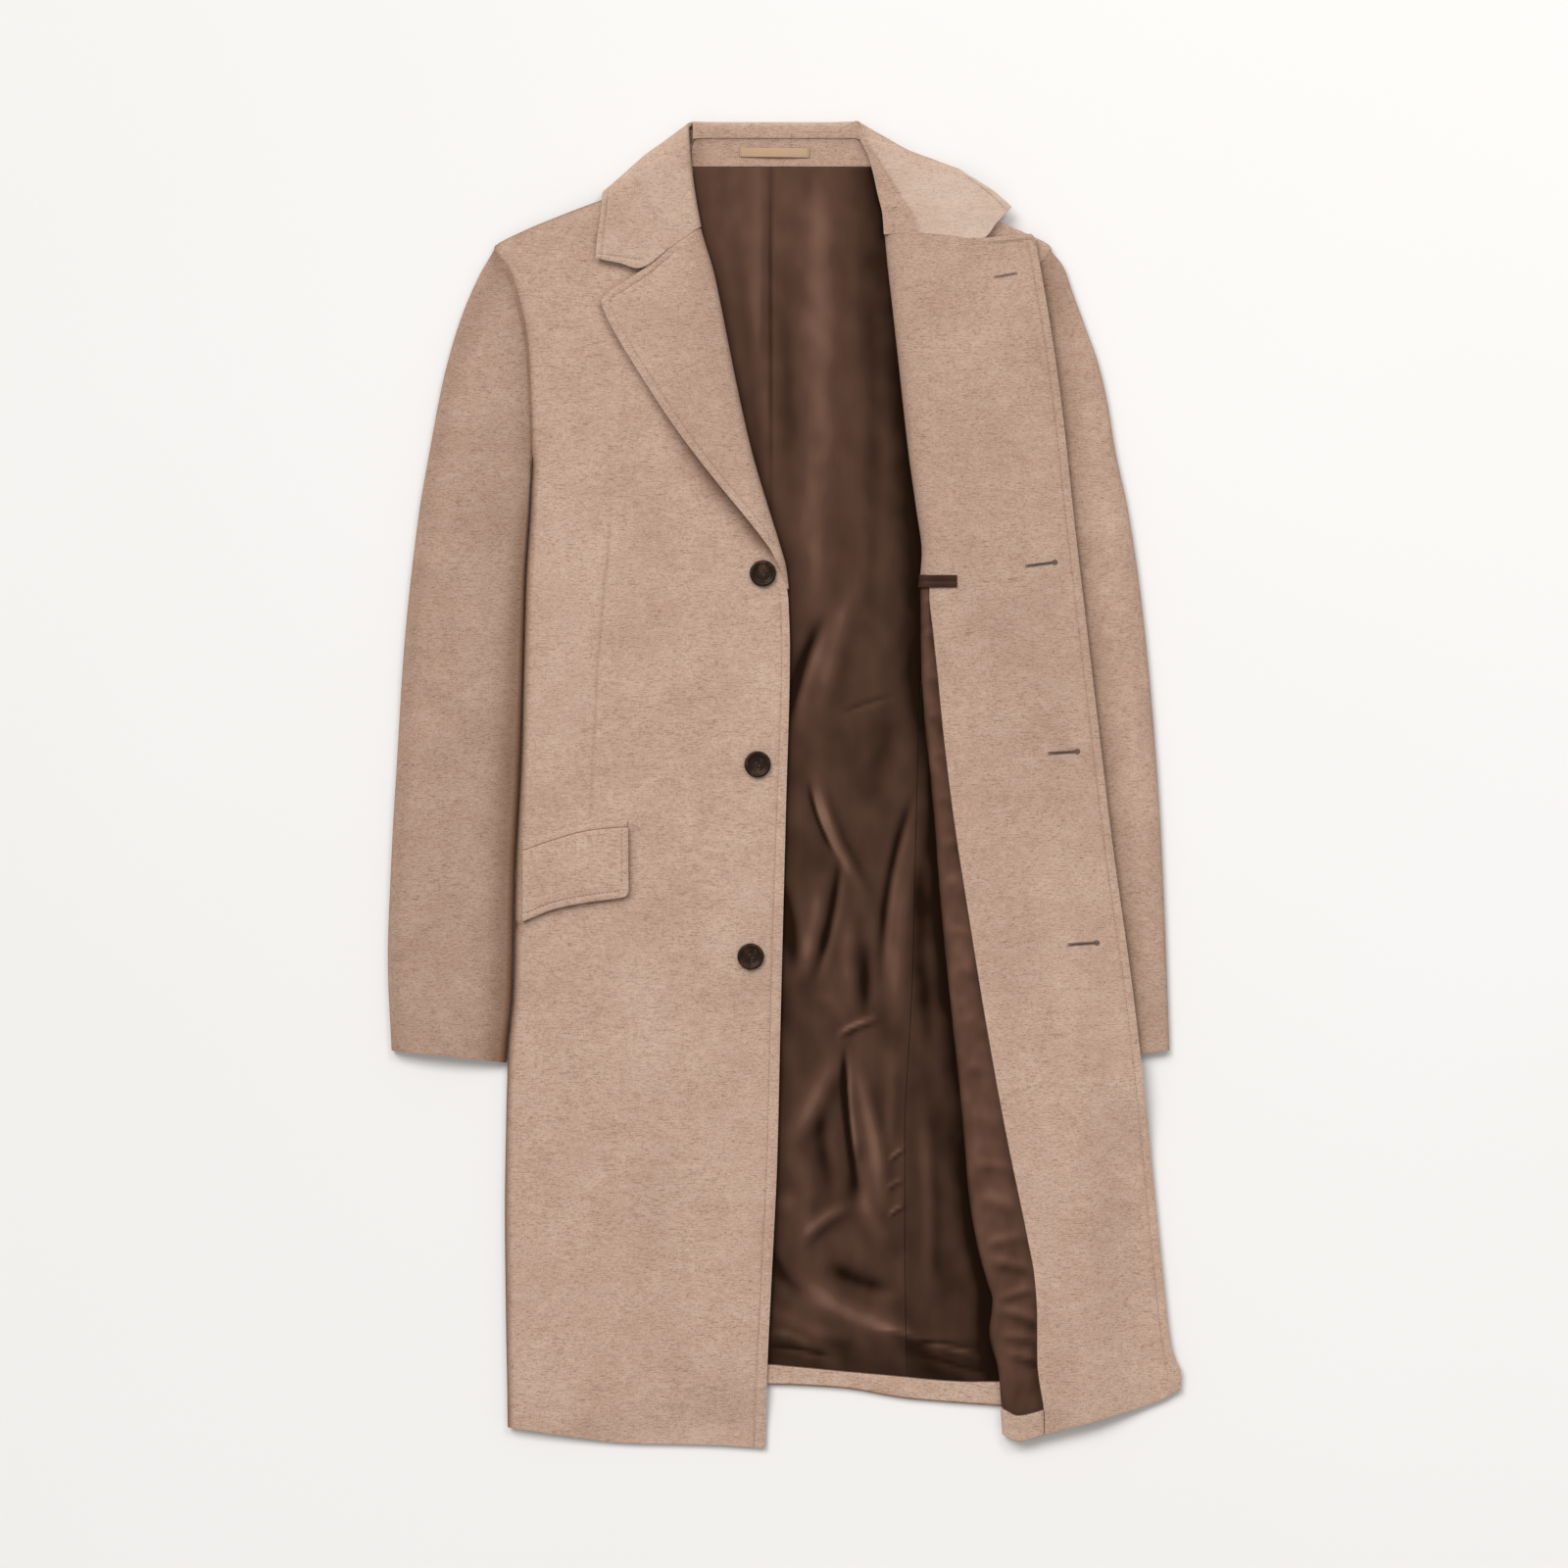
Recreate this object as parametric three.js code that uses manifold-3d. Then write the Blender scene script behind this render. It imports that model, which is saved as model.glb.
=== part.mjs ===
// Wool overcoat lying flat on its back, its left front turned open. Sides are the wearer's.
import * as THREE from "three";
import { mergeVertices } from "three/addons/utils/BufferGeometryUtils.js";
import Module from "manifold-3d";

const wasm = await Module();
wasm.setup();

// Driving sizes in mm: the origin is under the middle of the coat, +Y runs toward the collar
const BODY_CENTRE = -9.5;
const CLOTH = 2.4;
const COLLAR_CLOTH = 3;
const FACING_CLOTH = 2;
const LINING_CLOTH = 1;
const SEAM_GAP = 0.3;
const FOLD_GAP = 0.35;
const BUTTON_DIAMETER = 21.5;
const BUTTON_HEIGHT = 3.6;

// Heights of the cloth's middle above the surface that the coat lies on
const BACK_Z = CLOTH / 2;
const FRONT_Z = 6.4;
const TURNED_Z = 10.6;
const NECK_LIFT_OF_BACK = 3.5;
const NECK_LIFT_OF_FRONT = 1.3;
const ARMPIT_Y = 257.5;
const SHOULDER_Y = 432;
const NECK_POINT_Y = 494;
const BREAK_Y = 178;
const SIDE_REACH = 5;
const SHOULDER_REACH = 3.4;
const SLEEVE_REACH = 4.5;

// Reads rows into objects by the names of their columns
const table = (names, ...rows) =>
  rows.map((row) => Object.fromEntries(names.map((name, i) => [name, row[i]])));

// Smooth curve through one column that never swings past its rows
function curve(rows, key, at = "y") {
  const places = rows.map((row) => row[at]);
  const values = rows.map((row) => row[key]);
  const steps = places.slice(1).map((place, i) => (values[i + 1] - values[i]) / (place - places[i]));
  const slopes = places.map((_, i) => {
    const before = steps[Math.max(i - 1, 0)];
    const after = steps[Math.min(i, steps.length - 1)];
    return before * after > 0 ? (2 * before * after) / (before + after) : 0;
  });
  return (place) => {
    let i = 0;
    while (i < places.length - 2 && place > places[i + 1]) i += 1;
    const span = places[i + 1] - places[i];
    const t = THREE.MathUtils.clamp((place - places[i]) / span, 0, 1);
    const rise = values[i + 1] - values[i];
    const ease = t * t * (3 - 2 * t);
    const startPull = t * (1 - t) * (1 - t) * slopes[i] * span;
    const endPull = t * t * (1 - t) * slopes[i + 1] * span;
    return values[i] + rise * ease + startPull - endPull;
  };
}

const { lerp, smoothstep } = THREE.MathUtils;
const quarter = (share) => (share * Math.PI) / 2;
const spread = (from, to, count) => Array.from({ length: count + 1 }, (_, i) => lerp(from, to, i / count));

// Outline of the body seen from above: armhole, shoulder and back neck, the same on both sides
const YOKE = table(["y", "reach"],
  [257.5, 193.5], [289, 194.5], [321, 196], [347, 197.5], [370, 200.5], [397, 207], [416, 214],
  [432, 225.5], [445, 203.5], [457, 174.5], [468, 146], [473, 132], [500, 74], [512, 70], [521, 59]);
const yoke = curve(YOKE, "reach");

// Side seams below the armpits, right and left
const SIDES = table(["y", "right", "left"],
  [-535, -223, 240], [-420, -224.5, 229], [-347, -225.5, 224], [-224, -223, 212.5], [-163, -218, 207],
  [-78, -216.5, 201], [26, -211.7, 195], [157, -208.6, 189.5], [222, -204.5, 185.5], [257.5, -203, 184]);
const sides = { right: curve(SIDES, "right"), left: curve(SIDES, "left") };
const outward = { right: -1, left: 1 };
const bodySide = (side, y) => (y > ARMPIT_Y ? BODY_CENTRE + outward[side] * yoke(y) : sides[side](y));

// Right front: front edge up to the break, then the line on which the lapel rolls
const RIGHT_EDGE = table(["y", "x"],
  [-535, -16], [-467, -13.4], [-400, -10.2], [-300, -5.5], [-195, -3], [-15, 1.6], [110, 4.7],
  [150, 3.4], [175, 1.6], [192, -2.8], [222, -12.2], [266, -25.3], [321, -37.9], [385, -50.6],
  [414, -56.9], [450, -67.2], [469, -70.3], [501, -74.7], [532, -76.6]);
const rightEdge = curve(RIGHT_EDGE, "x");

// Right lapel's outer edge and top line
const LAPEL = table(["y", "x"],
  [178, -4], [190, -10.3], [199, -14.2], [213, -26.9], [230, -41.9], [247, -54.5], [257, -65.6],
  [273, -78.2], [289, -88.5], [326, -111.4], [370, -137.5], [382, -144.6], [390, -146.9],
  [394, -144.6], [403, -132.7], [415.5, -114], [421, -107.3], [436, -88.5], [447, -75.5]);
const lapelEdge = curve(LAPEL, "x");

// Neck edge of the right front, under the collar
const RIGHT_NECK = table(["y", "x"], [447, -79.5], [475, -85], [494, -87.5]);
const rightNeck = curve(RIGHT_NECK, "x");

// Left front: fold on which it is turned back, its free edge and its facing's inner edge
const LEFT_FOLD = table(["y", "x"],
  [-535, 178], [-505, 176], [-467, 172], [-440, 164.5], [-415, 167], [-401, 163], [-374, 155.6],
  [-344, 150], [-259, 142], [-170, 132.7], [-92, 125], [-5, 118.5], [58, 112], [100, 109.5],
  [156, 109], [187, 111], [222, 106.7], [268, 100.3], [332, 93.2], [389, 86.9], [435, 81.6], [500, 77]);
const leftFold = curve(LEFT_FOLD, "x");
const LEFT_EDGE = table(["y", "x"],
  [-487, 320], [-458, 312.8], [-390, 304.9], [-270, 293], [-166, 281], [-48, 264.7], [58, 252],
  [132, 243.3], [206, 234.6], [300, 224.4], [363, 215.7], [423, 205.4], [440, 202.2]);
const leftEdge = curve(LEFT_EDGE, "x");
const FACING_EDGE = table(["y", "x"],
  [-535, 210.5], [-494, 210], [-458, 204], [-427, 203.8], [-395, 201.5], [-365, 196], [-276, 177.8],
  [-188, 162], [-104, 148.5], [-27, 136.7], [37, 128.8], [100, 122.5], [153, 116],
  [170, 110], [440, 60]);
const facingEdge = curve(FACING_EDGE, "x");

// Hems by their place across the coat
const RIGHT_HEM = table(["x", "y"], [-223, -518], [-196, -522], [-124, -531], [-55, -532.5], [-16, -535]);
const BACK_HEM = table(["x", "y"],
  [-223, -516], [-158, -505], [-79, -489], [-13, -484], [45, -486.6], [97, -495], [143, -499], [240, -505]);
const TURNED_HEM = table(["x", "y"],
  [176, -521], [188, -529], [211, -523], [256, -511], [302, -497], [320, -487.4]);
const TURNED_TOP = table(["x", "y"], [81, 448], [116, 445], [157, 440.8], [199, 444], [202.2, 440]);
const LINING_HEM = table(["x", "y"], [-40, -465], [-12.6, -467], [75, -475], [154, -481], [200, -481]);
const rightHem = curve(RIGHT_HEM, "y", "x");
const backHem = curve(BACK_HEM, "y", "x");
const turnedHem = curve(TURNED_HEM, "y", "x");
const turnedTop = curve(TURNED_TOP, "y", "x");
const liningHem = curve(LINING_HEM, "y", "x");

// Sleeves: outer edge beside the coat and inner edge beside the body
const SLEEVES = {
  right: table(["y", "outer"],
    [-214, -317], [-142, -320], [-58, -317], [26, -312], [111, -306.5], [222, -294], [268, -286],
    [325, -275.7], [370, -264], [410, -248], [432, -235.5]),
  left: table(["y", "outer"],
    [-214, 311.3], [-125, 308], [-27, 303.4], [69, 296.3], [153, 287.6], [222, 277.3], [274, 266.2],
    [310, 260.7], [342, 253.6], [372, 243.3], [401, 233], [419, 226.7], [432, 216.5]),
};
const CUFF_OUTER_Y = -214;
const CUFF_INNER_Y = -224;
const SLEEVE_TO_BODY = 1.62;

// Closed wall of even thickness whose middle is the surface point(u, v), over the cells that cover keeps
function wall(point, us, vs, thickness, cover = () => true) {
  const sides = vs.map((v) => us.map((u) => {
    const half = normalAt(point, u, v).multiplyScalar(thickness / 2);
    const middle = point(u, v);
    return [middle.clone().add(half), middle.clone().sub(half)];
  }));
  const corners = sides.flat(2).flatMap((corner) => corner.toArray());
  const index = (row, column) => 2 * (row * us.length + column);
  const faces = [];
  const edges = new Set();
  const rim = [];
  const quad = (a, b, c, d) => faces.push(a, b, c, a, c, d);
  for (let row = 0; row < vs.length - 1; row += 1) {
    for (let column = 0; column < us.length - 1; column += 1) {
      if (cover((us[column] + us[column + 1]) / 2, (vs[row] + vs[row + 1]) / 2)) {
        const loop = [index(row, column), index(row, column + 1), index(row + 1, column + 1), index(row + 1, column)];
        quad(...loop);
        const [a, b, c, d] = loop.map((corner) => corner + 1);
        faces.push(a, c, b, a, d, c);
        loop.forEach((corner, i) => {
          const next = loop[(i + 1) % 4];
          edges.add(`${corner} ${next}`);
          rim.push([corner, next]);
        });
      }
    }
  }
  for (const [from, to] of rim) {
    if (!edges.has(`${to} ${from}`)) quad(to, from, from + 1, to + 1);
  }
  return facingOut(corners, faces);
}

// Upper side's direction where the surface is point(u, v)
function normalAt(point, u, v) {
  const stepU = 1e-3;
  const stepV = 0.05;
  const across = point(u + stepU, v).sub(point(Math.max(u - stepU, 0), v));
  const along = point(u, v + stepV).sub(point(u, v - stepV));
  return across.cross(along).normalize();
}

// Surface lying at a given distance off another
const lifted = (point, distance) => (u, v) => point(u, v).addScaledVector(normalAt(point, u, v), distance);

// Geometry with its faces turned out, whichever way its surface was walked
function facingOut(corners, faces) {
  let volume = 0;
  const corner = (i) => new THREE.Vector3().fromArray(corners, 3 * i);
  for (let i = 0; i < faces.length; i += 3) {
    volume += corner(faces[i]).dot(corner(faces[i + 1]).cross(corner(faces[i + 2])));
  }
  if (volume < 0) faces.reverse();
  const geometry = new THREE.BufferGeometry();
  geometry.setAttribute("position", new THREE.Float32BufferAttribute(corners, 3));
  geometry.setIndex(faces);
  return geometry;
}

function solid(geometry) {
  const plain = new THREE.BufferGeometry();
  plain.setAttribute("position", geometry.getAttribute("position"));
  plain.setIndex(geometry.getIndex());
  const merged = mergeVertices(plain, 1e-4);
  return new wasm.Manifold(new wasm.Mesh({
    numProp: 3,
    vertProperties: new Float32Array(merged.getAttribute("position").array),
    triVerts: new Uint32Array(merged.getIndex().array),
  }));
}

function fromSolid(body) {
  const mesh = body.getMesh();
  const geometry = new THREE.BufferGeometry();
  geometry.setAttribute("position", new THREE.BufferAttribute(mesh.vertProperties, 3));
  geometry.setIndex(new THREE.BufferAttribute(mesh.triVerts, 1));
  return geometry;
}

// Colours and finishes
const wool = { color: 0xbea38d, roughness: 0.95, metalness: 0 };
const satin = { color: 0x543f36, roughness: 0.45, metalness: 0 };
const horn = { color: 0x2d2620, roughness: 0.35, metalness: 0 };
const tape = { color: 0xc4a680, roughness: 0.4, metalness: 0 };

const group = new THREE.Group();
function add(name, geometry, finish) {
  const mesh = new THREE.Mesh(geometry, new THREE.MeshStandardMaterial(finish));
  mesh.name = name;
  group.add(mesh);
  return mesh;
}

// The collar's fall lies under the back at the neck and lifts both layers there
const neckLift = (y) => smoothstep(y, 434, 456);
const backLevel = (y) => BACK_Z + NECK_LIFT_OF_BACK * neckLift(y);
const frontLevel = (y) => FRONT_Z + NECK_LIFT_OF_FRONT * neckLift(y);
const seamLevel = (y) => (backLevel(y) + frontLevel(y)) / 2;

// One where front and back meet in a fold, none where a sleeve is sewn between them
const sideFold = (y) =>
  1 - smoothstep(y, ARMPIT_Y, 275) + smoothstep(y, 405, SHOULDER_Y) - smoothstep(y, 497, 505);

// Point near a folded side: u from 0 at the seam to 1 where the panel lies flat
function sideTurn(side, y, u, level, seamOffset) {
  const fold = sideFold(y);
  const reach = lerp(SIDE_REACH, SHOULDER_REACH, smoothstep(y, 416, 445));
  const inset = SEAM_GAP / 2 + (CLOTH / 2) * fold + reach * (1 - Math.cos(quarter(u)));
  const edgeLevel = seamLevel(y) + seamOffset;
  const z = level - (level - edgeLevel) * fold * (1 - Math.sin(quarter(u)));
  return new THREE.Vector3(bodySide(side, y) - outward[side] * inset, y, z);
}

// Height moved toward a hem that isn't level, over the cloth just above it
const HEM_BLEND = 70;
const towardHem = (y, floorY, hemY) => y + (hemY - floorY) * (1 - smoothstep(y, floorY, floorY + HEM_BLEND));

const YOKE_ROWS = [257.5, 275, 289, 321, 347, 370, 397, 416, 432, 446, 457, 468, 473, NECK_POINT_Y];
const SKIRT_ROWS = [-470, -435, -395, -340, -300, -262, -225, -150, -60, 26, 90];
const SIDE_STEPS = [0, 1 / 3, 2 / 3, 1];

// Backs, joined at the centre seam
function backPoint(side) {
  const seamX = BODY_CENTRE + outward[side] * SEAM_GAP / 2;
  return (u, v) => {
    const turn = Math.min(u, 1);
    const start = sideTurn(side, v, turn, backLevel(v), -FOLD_GAP);
    const x = u > 1 ? lerp(start.x, seamX, u - 1) : start.x;
    return new THREE.Vector3(x, towardHem(v, -516, backHem(x)), start.z);
  };
}
for (const side of ["right", "left"]) {
  const rows = [-516, -400, -300, -225, -150, -60, 26, 157, 206, ...YOKE_ROWS, 506, 521];
  add(`back_${side}`, wall(backPoint(side), [...SIDE_STEPS, 1.35, 1.7, 2], rows, CLOTH), wool);
}

// Right front: u from 0 to 2 is the panel, to 3 the lapel's roll, to 4 the lapel's underside
const ROLL_REACH = 3;
const FACING_LIFT = CLOTH / 2 + SEAM_GAP + FACING_CLOTH / 2;
const FACING_SKIN = FACING_LIFT + FACING_CLOTH / 2;
const ROLL_HEIGHT = 6;
const rollHeight = (y) => ROLL_HEIGHT * smoothstep(y, BREAK_Y - 30, 240);
const rollCentreX = (y) => rightEdge(y) - FACING_SKIN - ROLL_REACH;
const HEM_SAG = 3.4;
const LAPEL_FALL = 50;
const RIGHT_FLOOR_Y = -518;
function rightFrontPoint(u, v) {
  const low = frontLevel(v);
  const centre = rollCentreX(v);
  if (u > 3) {
    const rest = low + CLOTH + 2 * SEAM_GAP;
    const top = Math.max(low + rollHeight(v), rest);
    const width = centre - lapelEdge(v);
    const fall = smoothstep(u, 3, 4) * smoothstep(width, 0, LAPEL_FALL);
    return new THREE.Vector3(lerp(centre, lapelEdge(v), u - 3), v, lerp(top, rest, fall));
  }
  if (u > 2) {
    const angle = (u - 2.5) * Math.PI;
    const height = Math.max(rollHeight(v), CLOTH + 2 * SEAM_GAP);
    const z = low + (height * (1 + Math.sin(angle))) / 2;
    return new THREE.Vector3(centre + ROLL_REACH * Math.cos(angle), v, z);
  }
  const start = sideTurn("right", v, Math.min(u, 1), low, FOLD_GAP);
  const folded = lerp(rightEdge(v), centre, smoothstep(v, 170, 186));
  const endX = lerp(folded, rightNeck(v), smoothstep(v, 447, 452));
  const x = u > 1 ? lerp(start.x, endX, u - 1) : start.x;
  const y = towardHem(v, RIGHT_FLOOR_Y, rightHem(x));
  const sag = HEM_SAG * smoothstep(backHem(x) - y, 1, 36);
  return new THREE.Vector3(x, y, start.z - sag);
}
const LAPEL_LOW_Y = 187;
const LAPEL_HIGH_Y = 442;
const LAPEL_ROWS = [LAPEL_LOW_Y, 199, 213, 230, 257.5, 275, 289, 321, 347, 370, 382, 390, 397, 404, 416, 421, 432,
  LAPEL_HIGH_Y];
const rightRows = [...new Set([RIGHT_FLOOR_Y, ...SKIRT_ROWS, 157, 172, ...LAPEL_ROWS, ...YOKE_ROWS])]
  .sort((a, b) => a - b);
const isLapel = (v) => v > LAPEL_LOW_Y && v < LAPEL_HIGH_Y;
const ROLL_STEPS = [0, 0.25, 0.5, 0.75, 1];
const rightColumns = [...SIDE_STEPS, 1.3, 1.6, 1.85, ...ROLL_STEPS.map((step) => 2 + step), 3.33, 3.67, 4];
add("right_front", wall(rightFrontPoint, rightColumns, rightRows, CLOTH, (u, v) => u < 2 || isLapel(v)), wool);
add("right_facing", wall(lifted(rightFrontPoint, -FACING_LIFT), [2.33, 2.5, 2.75, 3, 3.33, 3.67, 4],
  LAPEL_ROWS, FACING_CLOTH), wool);

// Left front: u from 0 to 2 is the lower layer, to 3 the fold, to 4 the turned-back layer
const FOLD_REACH = 4.5;
const FOLD_HEIGHT = table(["y", "height"],
  [-530, 4.8], [-440, 7], [-300, 9], [160, 9], [300, 7.5], [400, 4.6], [449, 3.8]);
const foldHeight = curve(FOLD_HEIGHT, "height");
const foldCentreX = (y) => leftFold(y) + FACING_SKIN + FOLD_REACH;
const FOLD_FALL = 80;
const LEFT_FLOOR_Y = -505;
const TURNED_TOP_Y = 440;

// Turned-back layer's height: it lies on the sleeve, and below the cuff it sinks to the surface
const SINK = 8.8;
function turnedLevel(x, y) {
  const top = frontLevel(y) + foldHeight(y);
  const pastFold = smoothstep(x - foldCentreX(y), 0, FOLD_FALL);
  const pastSide = smoothstep(x - bodySide("left", y), 6, 62);
  const belowCuff = smoothstep(-y, 230, 310);
  return lerp(top, TURNED_Z, pastFold) - SINK * pastSide * belowCuff;
}
const topSlant = (x, y) => (turnedTop(x) - TURNED_TOP_Y) * smoothstep(y, 400, TURNED_TOP_Y);
function leftFrontPoint(u, v) {
  const centre = foldCentreX(v);
  const low = frontLevel(v);
  if (u > 3) {
    const x = lerp(centre, leftEdge(v), u - 3);
    return new THREE.Vector3(x, towardHem(v, LEFT_FLOOR_Y, turnedHem(x)) + topSlant(x, v), turnedLevel(x, v));
  }
  const start = sideTurn("left", v, Math.min(u, 1), low, FOLD_GAP);
  const angle = (Math.max(u, 2) - 2.5) * Math.PI;
  const across = u > 1 ? lerp(start.x, centre, Math.min(u, 2) - 1) : start.x;
  const x = across - FOLD_REACH * Math.cos(angle);
  const rise = (foldHeight(v) * (1 + Math.sin(angle))) / 2;
  const top = u > 2 ? topSlant(x, v) * (u - 2) : 0;
  return new THREE.Vector3(x, towardHem(v, LEFT_FLOOR_Y, turnedHem(x)) + top, start.z + rise);
}
const STRIP_LOW_Y = -487;
const LEFT_NECK_Y = 482;
const FACING_STEP_Y = 164;
const leftRows = [...new Set([LEFT_FLOOR_Y, STRIP_LOW_Y, ...SKIRT_ROWS, 143, FACING_STEP_Y, 206, TURNED_TOP_Y,
  ...YOKE_ROWS.filter((y) => y < LEFT_NECK_Y), LEFT_NECK_Y])].sort((a, b) => a - b);
const turnedRows = leftRows.filter((y) => y <= TURNED_TOP_Y);
const leftColumns = [...SIDE_STEPS, 1.3, 1.6, ...ROLL_STEPS.map((step) => 2 + step), 3.15, 3.3, 3.45, 3.6, 3.8, 4];
add("left_front", wall(leftFrontPoint, leftColumns, leftRows, CLOTH, (u, v) => u < 2 || v < TURNED_TOP_Y), wool);
const turnedAt = (x, y) => 3 + (x - foldCentreX(y)) / (leftEdge(y) - foldCentreX(y));

// Pieces on the turned-back layer share its columns, so that they lie evenly on it
const onTurned = (place, lift) => lifted((u, v) => leftFrontPoint(place(u, v), v), lift);
const WRAP = 2.36;
const FACING_JOIN = 3.3;
const facingRows = turnedRows.filter((y) => ![275, 289, 347, 397, 432].includes(y));
const facingStart = (y) => Math.max(turnedAt(facingEdge(y), y), 3.0001);
const facingPlace = (u, v) => (u > 3 && u < FACING_JOIN
  ? lerp(facingStart(v), FACING_JOIN, (u - 3) / (FACING_JOIN - 3)) : u);
const isFacing = (u, v) => u > 3 || v > FACING_STEP_Y;
add("left_facing", wall(onTurned(facingPlace, FACING_LIFT), [WRAP, 2.5, 2.75, 3.0001, 3.15, 3.3, 3.45, 3.6, 3.8, 4],
  facingRows, FACING_CLOTH, isFacing), wool);
const LINING_LIFT = CLOTH / 2 + SEAM_GAP + LINING_CLOTH / 2;
const stripEnd = (y) => Math.max(facingStart(y) - 0.004, 2.99);
const stripPlace = (u, v) => (u < 2.75 ? u : lerp(2.75, stripEnd(v), (u - 2.75) / 1.25));
const STRIP_COLUMNS = [WRAP, 2.5, 2.75, 3.17, 3.58, 4];
add("lining_front", wall(onTurned(stripPlace, LINING_LIFT), STRIP_COLUMNS,
  [STRIP_LOW_Y, ...SKIRT_ROWS, 143, FACING_STEP_Y - 2 * SEAM_GAP], LINING_CLOTH), satin);
add("front_hem", wall(onTurned(stripPlace, FACING_LIFT), STRIP_COLUMNS,
  [LEFT_FLOOR_Y, STRIP_LOW_Y - 2 * SEAM_GAP], FACING_CLOTH), wool);

// Sleeves: rings from the cuff slant until the last one lies along the armhole
const ARMHOLE_SPAN = 177.3;
const ARMHOLE_ROWS = [416, 397, 370, 347, 321, 289];
const armholeShare = (y) => (SHOULDER_Y - y) / (SHOULDER_Y - ARMPIT_Y);
const CROWN = 1;
function sleevePoint(side, layer) {
  const outerX = curve(SLEEVES[side], "outer");
  const away = outward[side];
  function ring(share, v) {
    const outerY = lerp(CUFF_OUTER_Y, SHOULDER_Y, v);
    const innerY = lerp(CUFF_INNER_Y, ARMPIT_Y, v);
    const outer = new THREE.Vector2(outerX(outerY), outerY);
    const inner = new THREE.Vector2(bodySide(side, innerY) + away * SLEEVE_TO_BODY, innerY);
    const inset = (CLOTH / 2 + SEAM_GAP) / outer.distanceTo(inner);
    return outer.lerp(inner, lerp(inset, 1 - inset, share));
  }
  return (u, v) => {
    const turn = quarter(Math.min(u, 1, 3 - u));
    const reach = SLEEVE_REACH / ring(0, v).distanceTo(ring(1, v));
    const rolled = reach * (1 - Math.cos(turn));
    const flatShare = lerp(reach, 1 - reach, u - 1);
    const share = u < 1 ? rolled : u > 2 ? 1 - rolled : flatShare;
    const fullness = u < 1 || u > 2 ? Math.sin(turn) : 1;
    const place = ring(share, v);
    const last = ring(share, 1);
    const skin = (CLOTH / 2) * smoothstep(share, 0.9, 1);
    const armholeX = bodySide(side, last.y) + away * (2.5 * SEAM_GAP + skin);
    const x = place.x + (armholeX - last.x) * smoothstep(v, 0.72, 1);
    const crown = CROWN * Math.sin(Math.PI * share) * (1 - smoothstep(v, 0.7, 1));
    const flat = layer === "upper" ? FRONT_Z + crown : BACK_Z;
    const seam = (BACK_Z + FRONT_Z) / 2 + (layer === "upper" ? FOLD_GAP : -FOLD_GAP);
    return new THREE.Vector3(x, place.y, lerp(seam, flat, fullness));
  };
}
const sleeveColumns = [
  0, 1 / 3, 2 / 3, 1,
  ...ARMHOLE_ROWS.map((y) => 1 + (armholeShare(y) * ARMHOLE_SPAN - SLEEVE_REACH) / (ARMHOLE_SPAN - 2 * SLEEVE_REACH)),
  2, 7 / 3, 8 / 3, 3,
];
for (const side of ["right", "left"]) {
  for (const layer of ["upper", "under"]) {
    const rings = [1, 0.91, 0.81, 0.69, 0.5, 0.27, 0.13, 0];
    add(`sleeve_${side}_${layer}`, wall(sleevePoint(side, layer), sleeveColumns, rings, CLOTH), wool);
  }
}

// Collar: each station runs from the fold at the neck to the outer edge
const COLLAR = table(
  ["foldX", "foldY", "midX", "midY", "edgeX", "edgeY", "stand", "fall", "rim", "turn"],
  [-67.6, 452.4, -114.7, 417.6, -151.5, 424.5, 7.9, 14, 12.4, 1],
  [-70.5, 471, -113, 444, -150.5, 437, 7.9, 14, 12, 1],
  [-74.7, 501, -113, 472, -148, 456, 7.9, 13.6, 11.6, 1],
  [-76.2, 520, -112, 492, -146.4, 469, 7.9, 12.8, 11.6, 1],
  [-77, 531, -110, 508, -144.8, 477.4, 7.8, 7.6, 6.6, 0],
  [-75, 533.6, -110, 507.4, -144, 475.6, 7.8, 3, 2.3, 0.2],
  [-71, 534.8, -107, 503, -138, 468, 7.8, 1.5, 1.5, 0.6],
  [-60, 534.8, -66, 495, -80, 460, 7.8, 1.5, 1.5, 1],
  [-9.5, 534.8, -9.5, 495, -9.5, 456, 7.8, 1.5, 1.5, 1],
  [38, 534.8, 44, 495, 60, 460, 7.8, 1.5, 1.5, 1],
  [53, 534.8, 88, 503, 119, 469, 7.8, 1.5, 1.5, 0.6],
  [59, 534, 98, 511.5, 135.5, 496.7, 9.4, 4.6, 5.5, -0.4],
  [68, 517, 107, 502, 149, 490.2, 11.4, 11.2, 11, -1],
  [79, 499, 119, 489, 159, 484.4, 11.6, 11.4, 11, -1],
  [92, 477, 130, 474, 168.5, 478.5, 11.6, 11.4, 11, -1],
  [102.5, 459.5, 141, 460, 177.8, 470.5, 11.6, 11.4, 11, -1],
  [107.5, 451.2, 160.8, 444.4, 183.2, 465.8, 11.6, 11.4, 11, -1],
);
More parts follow.
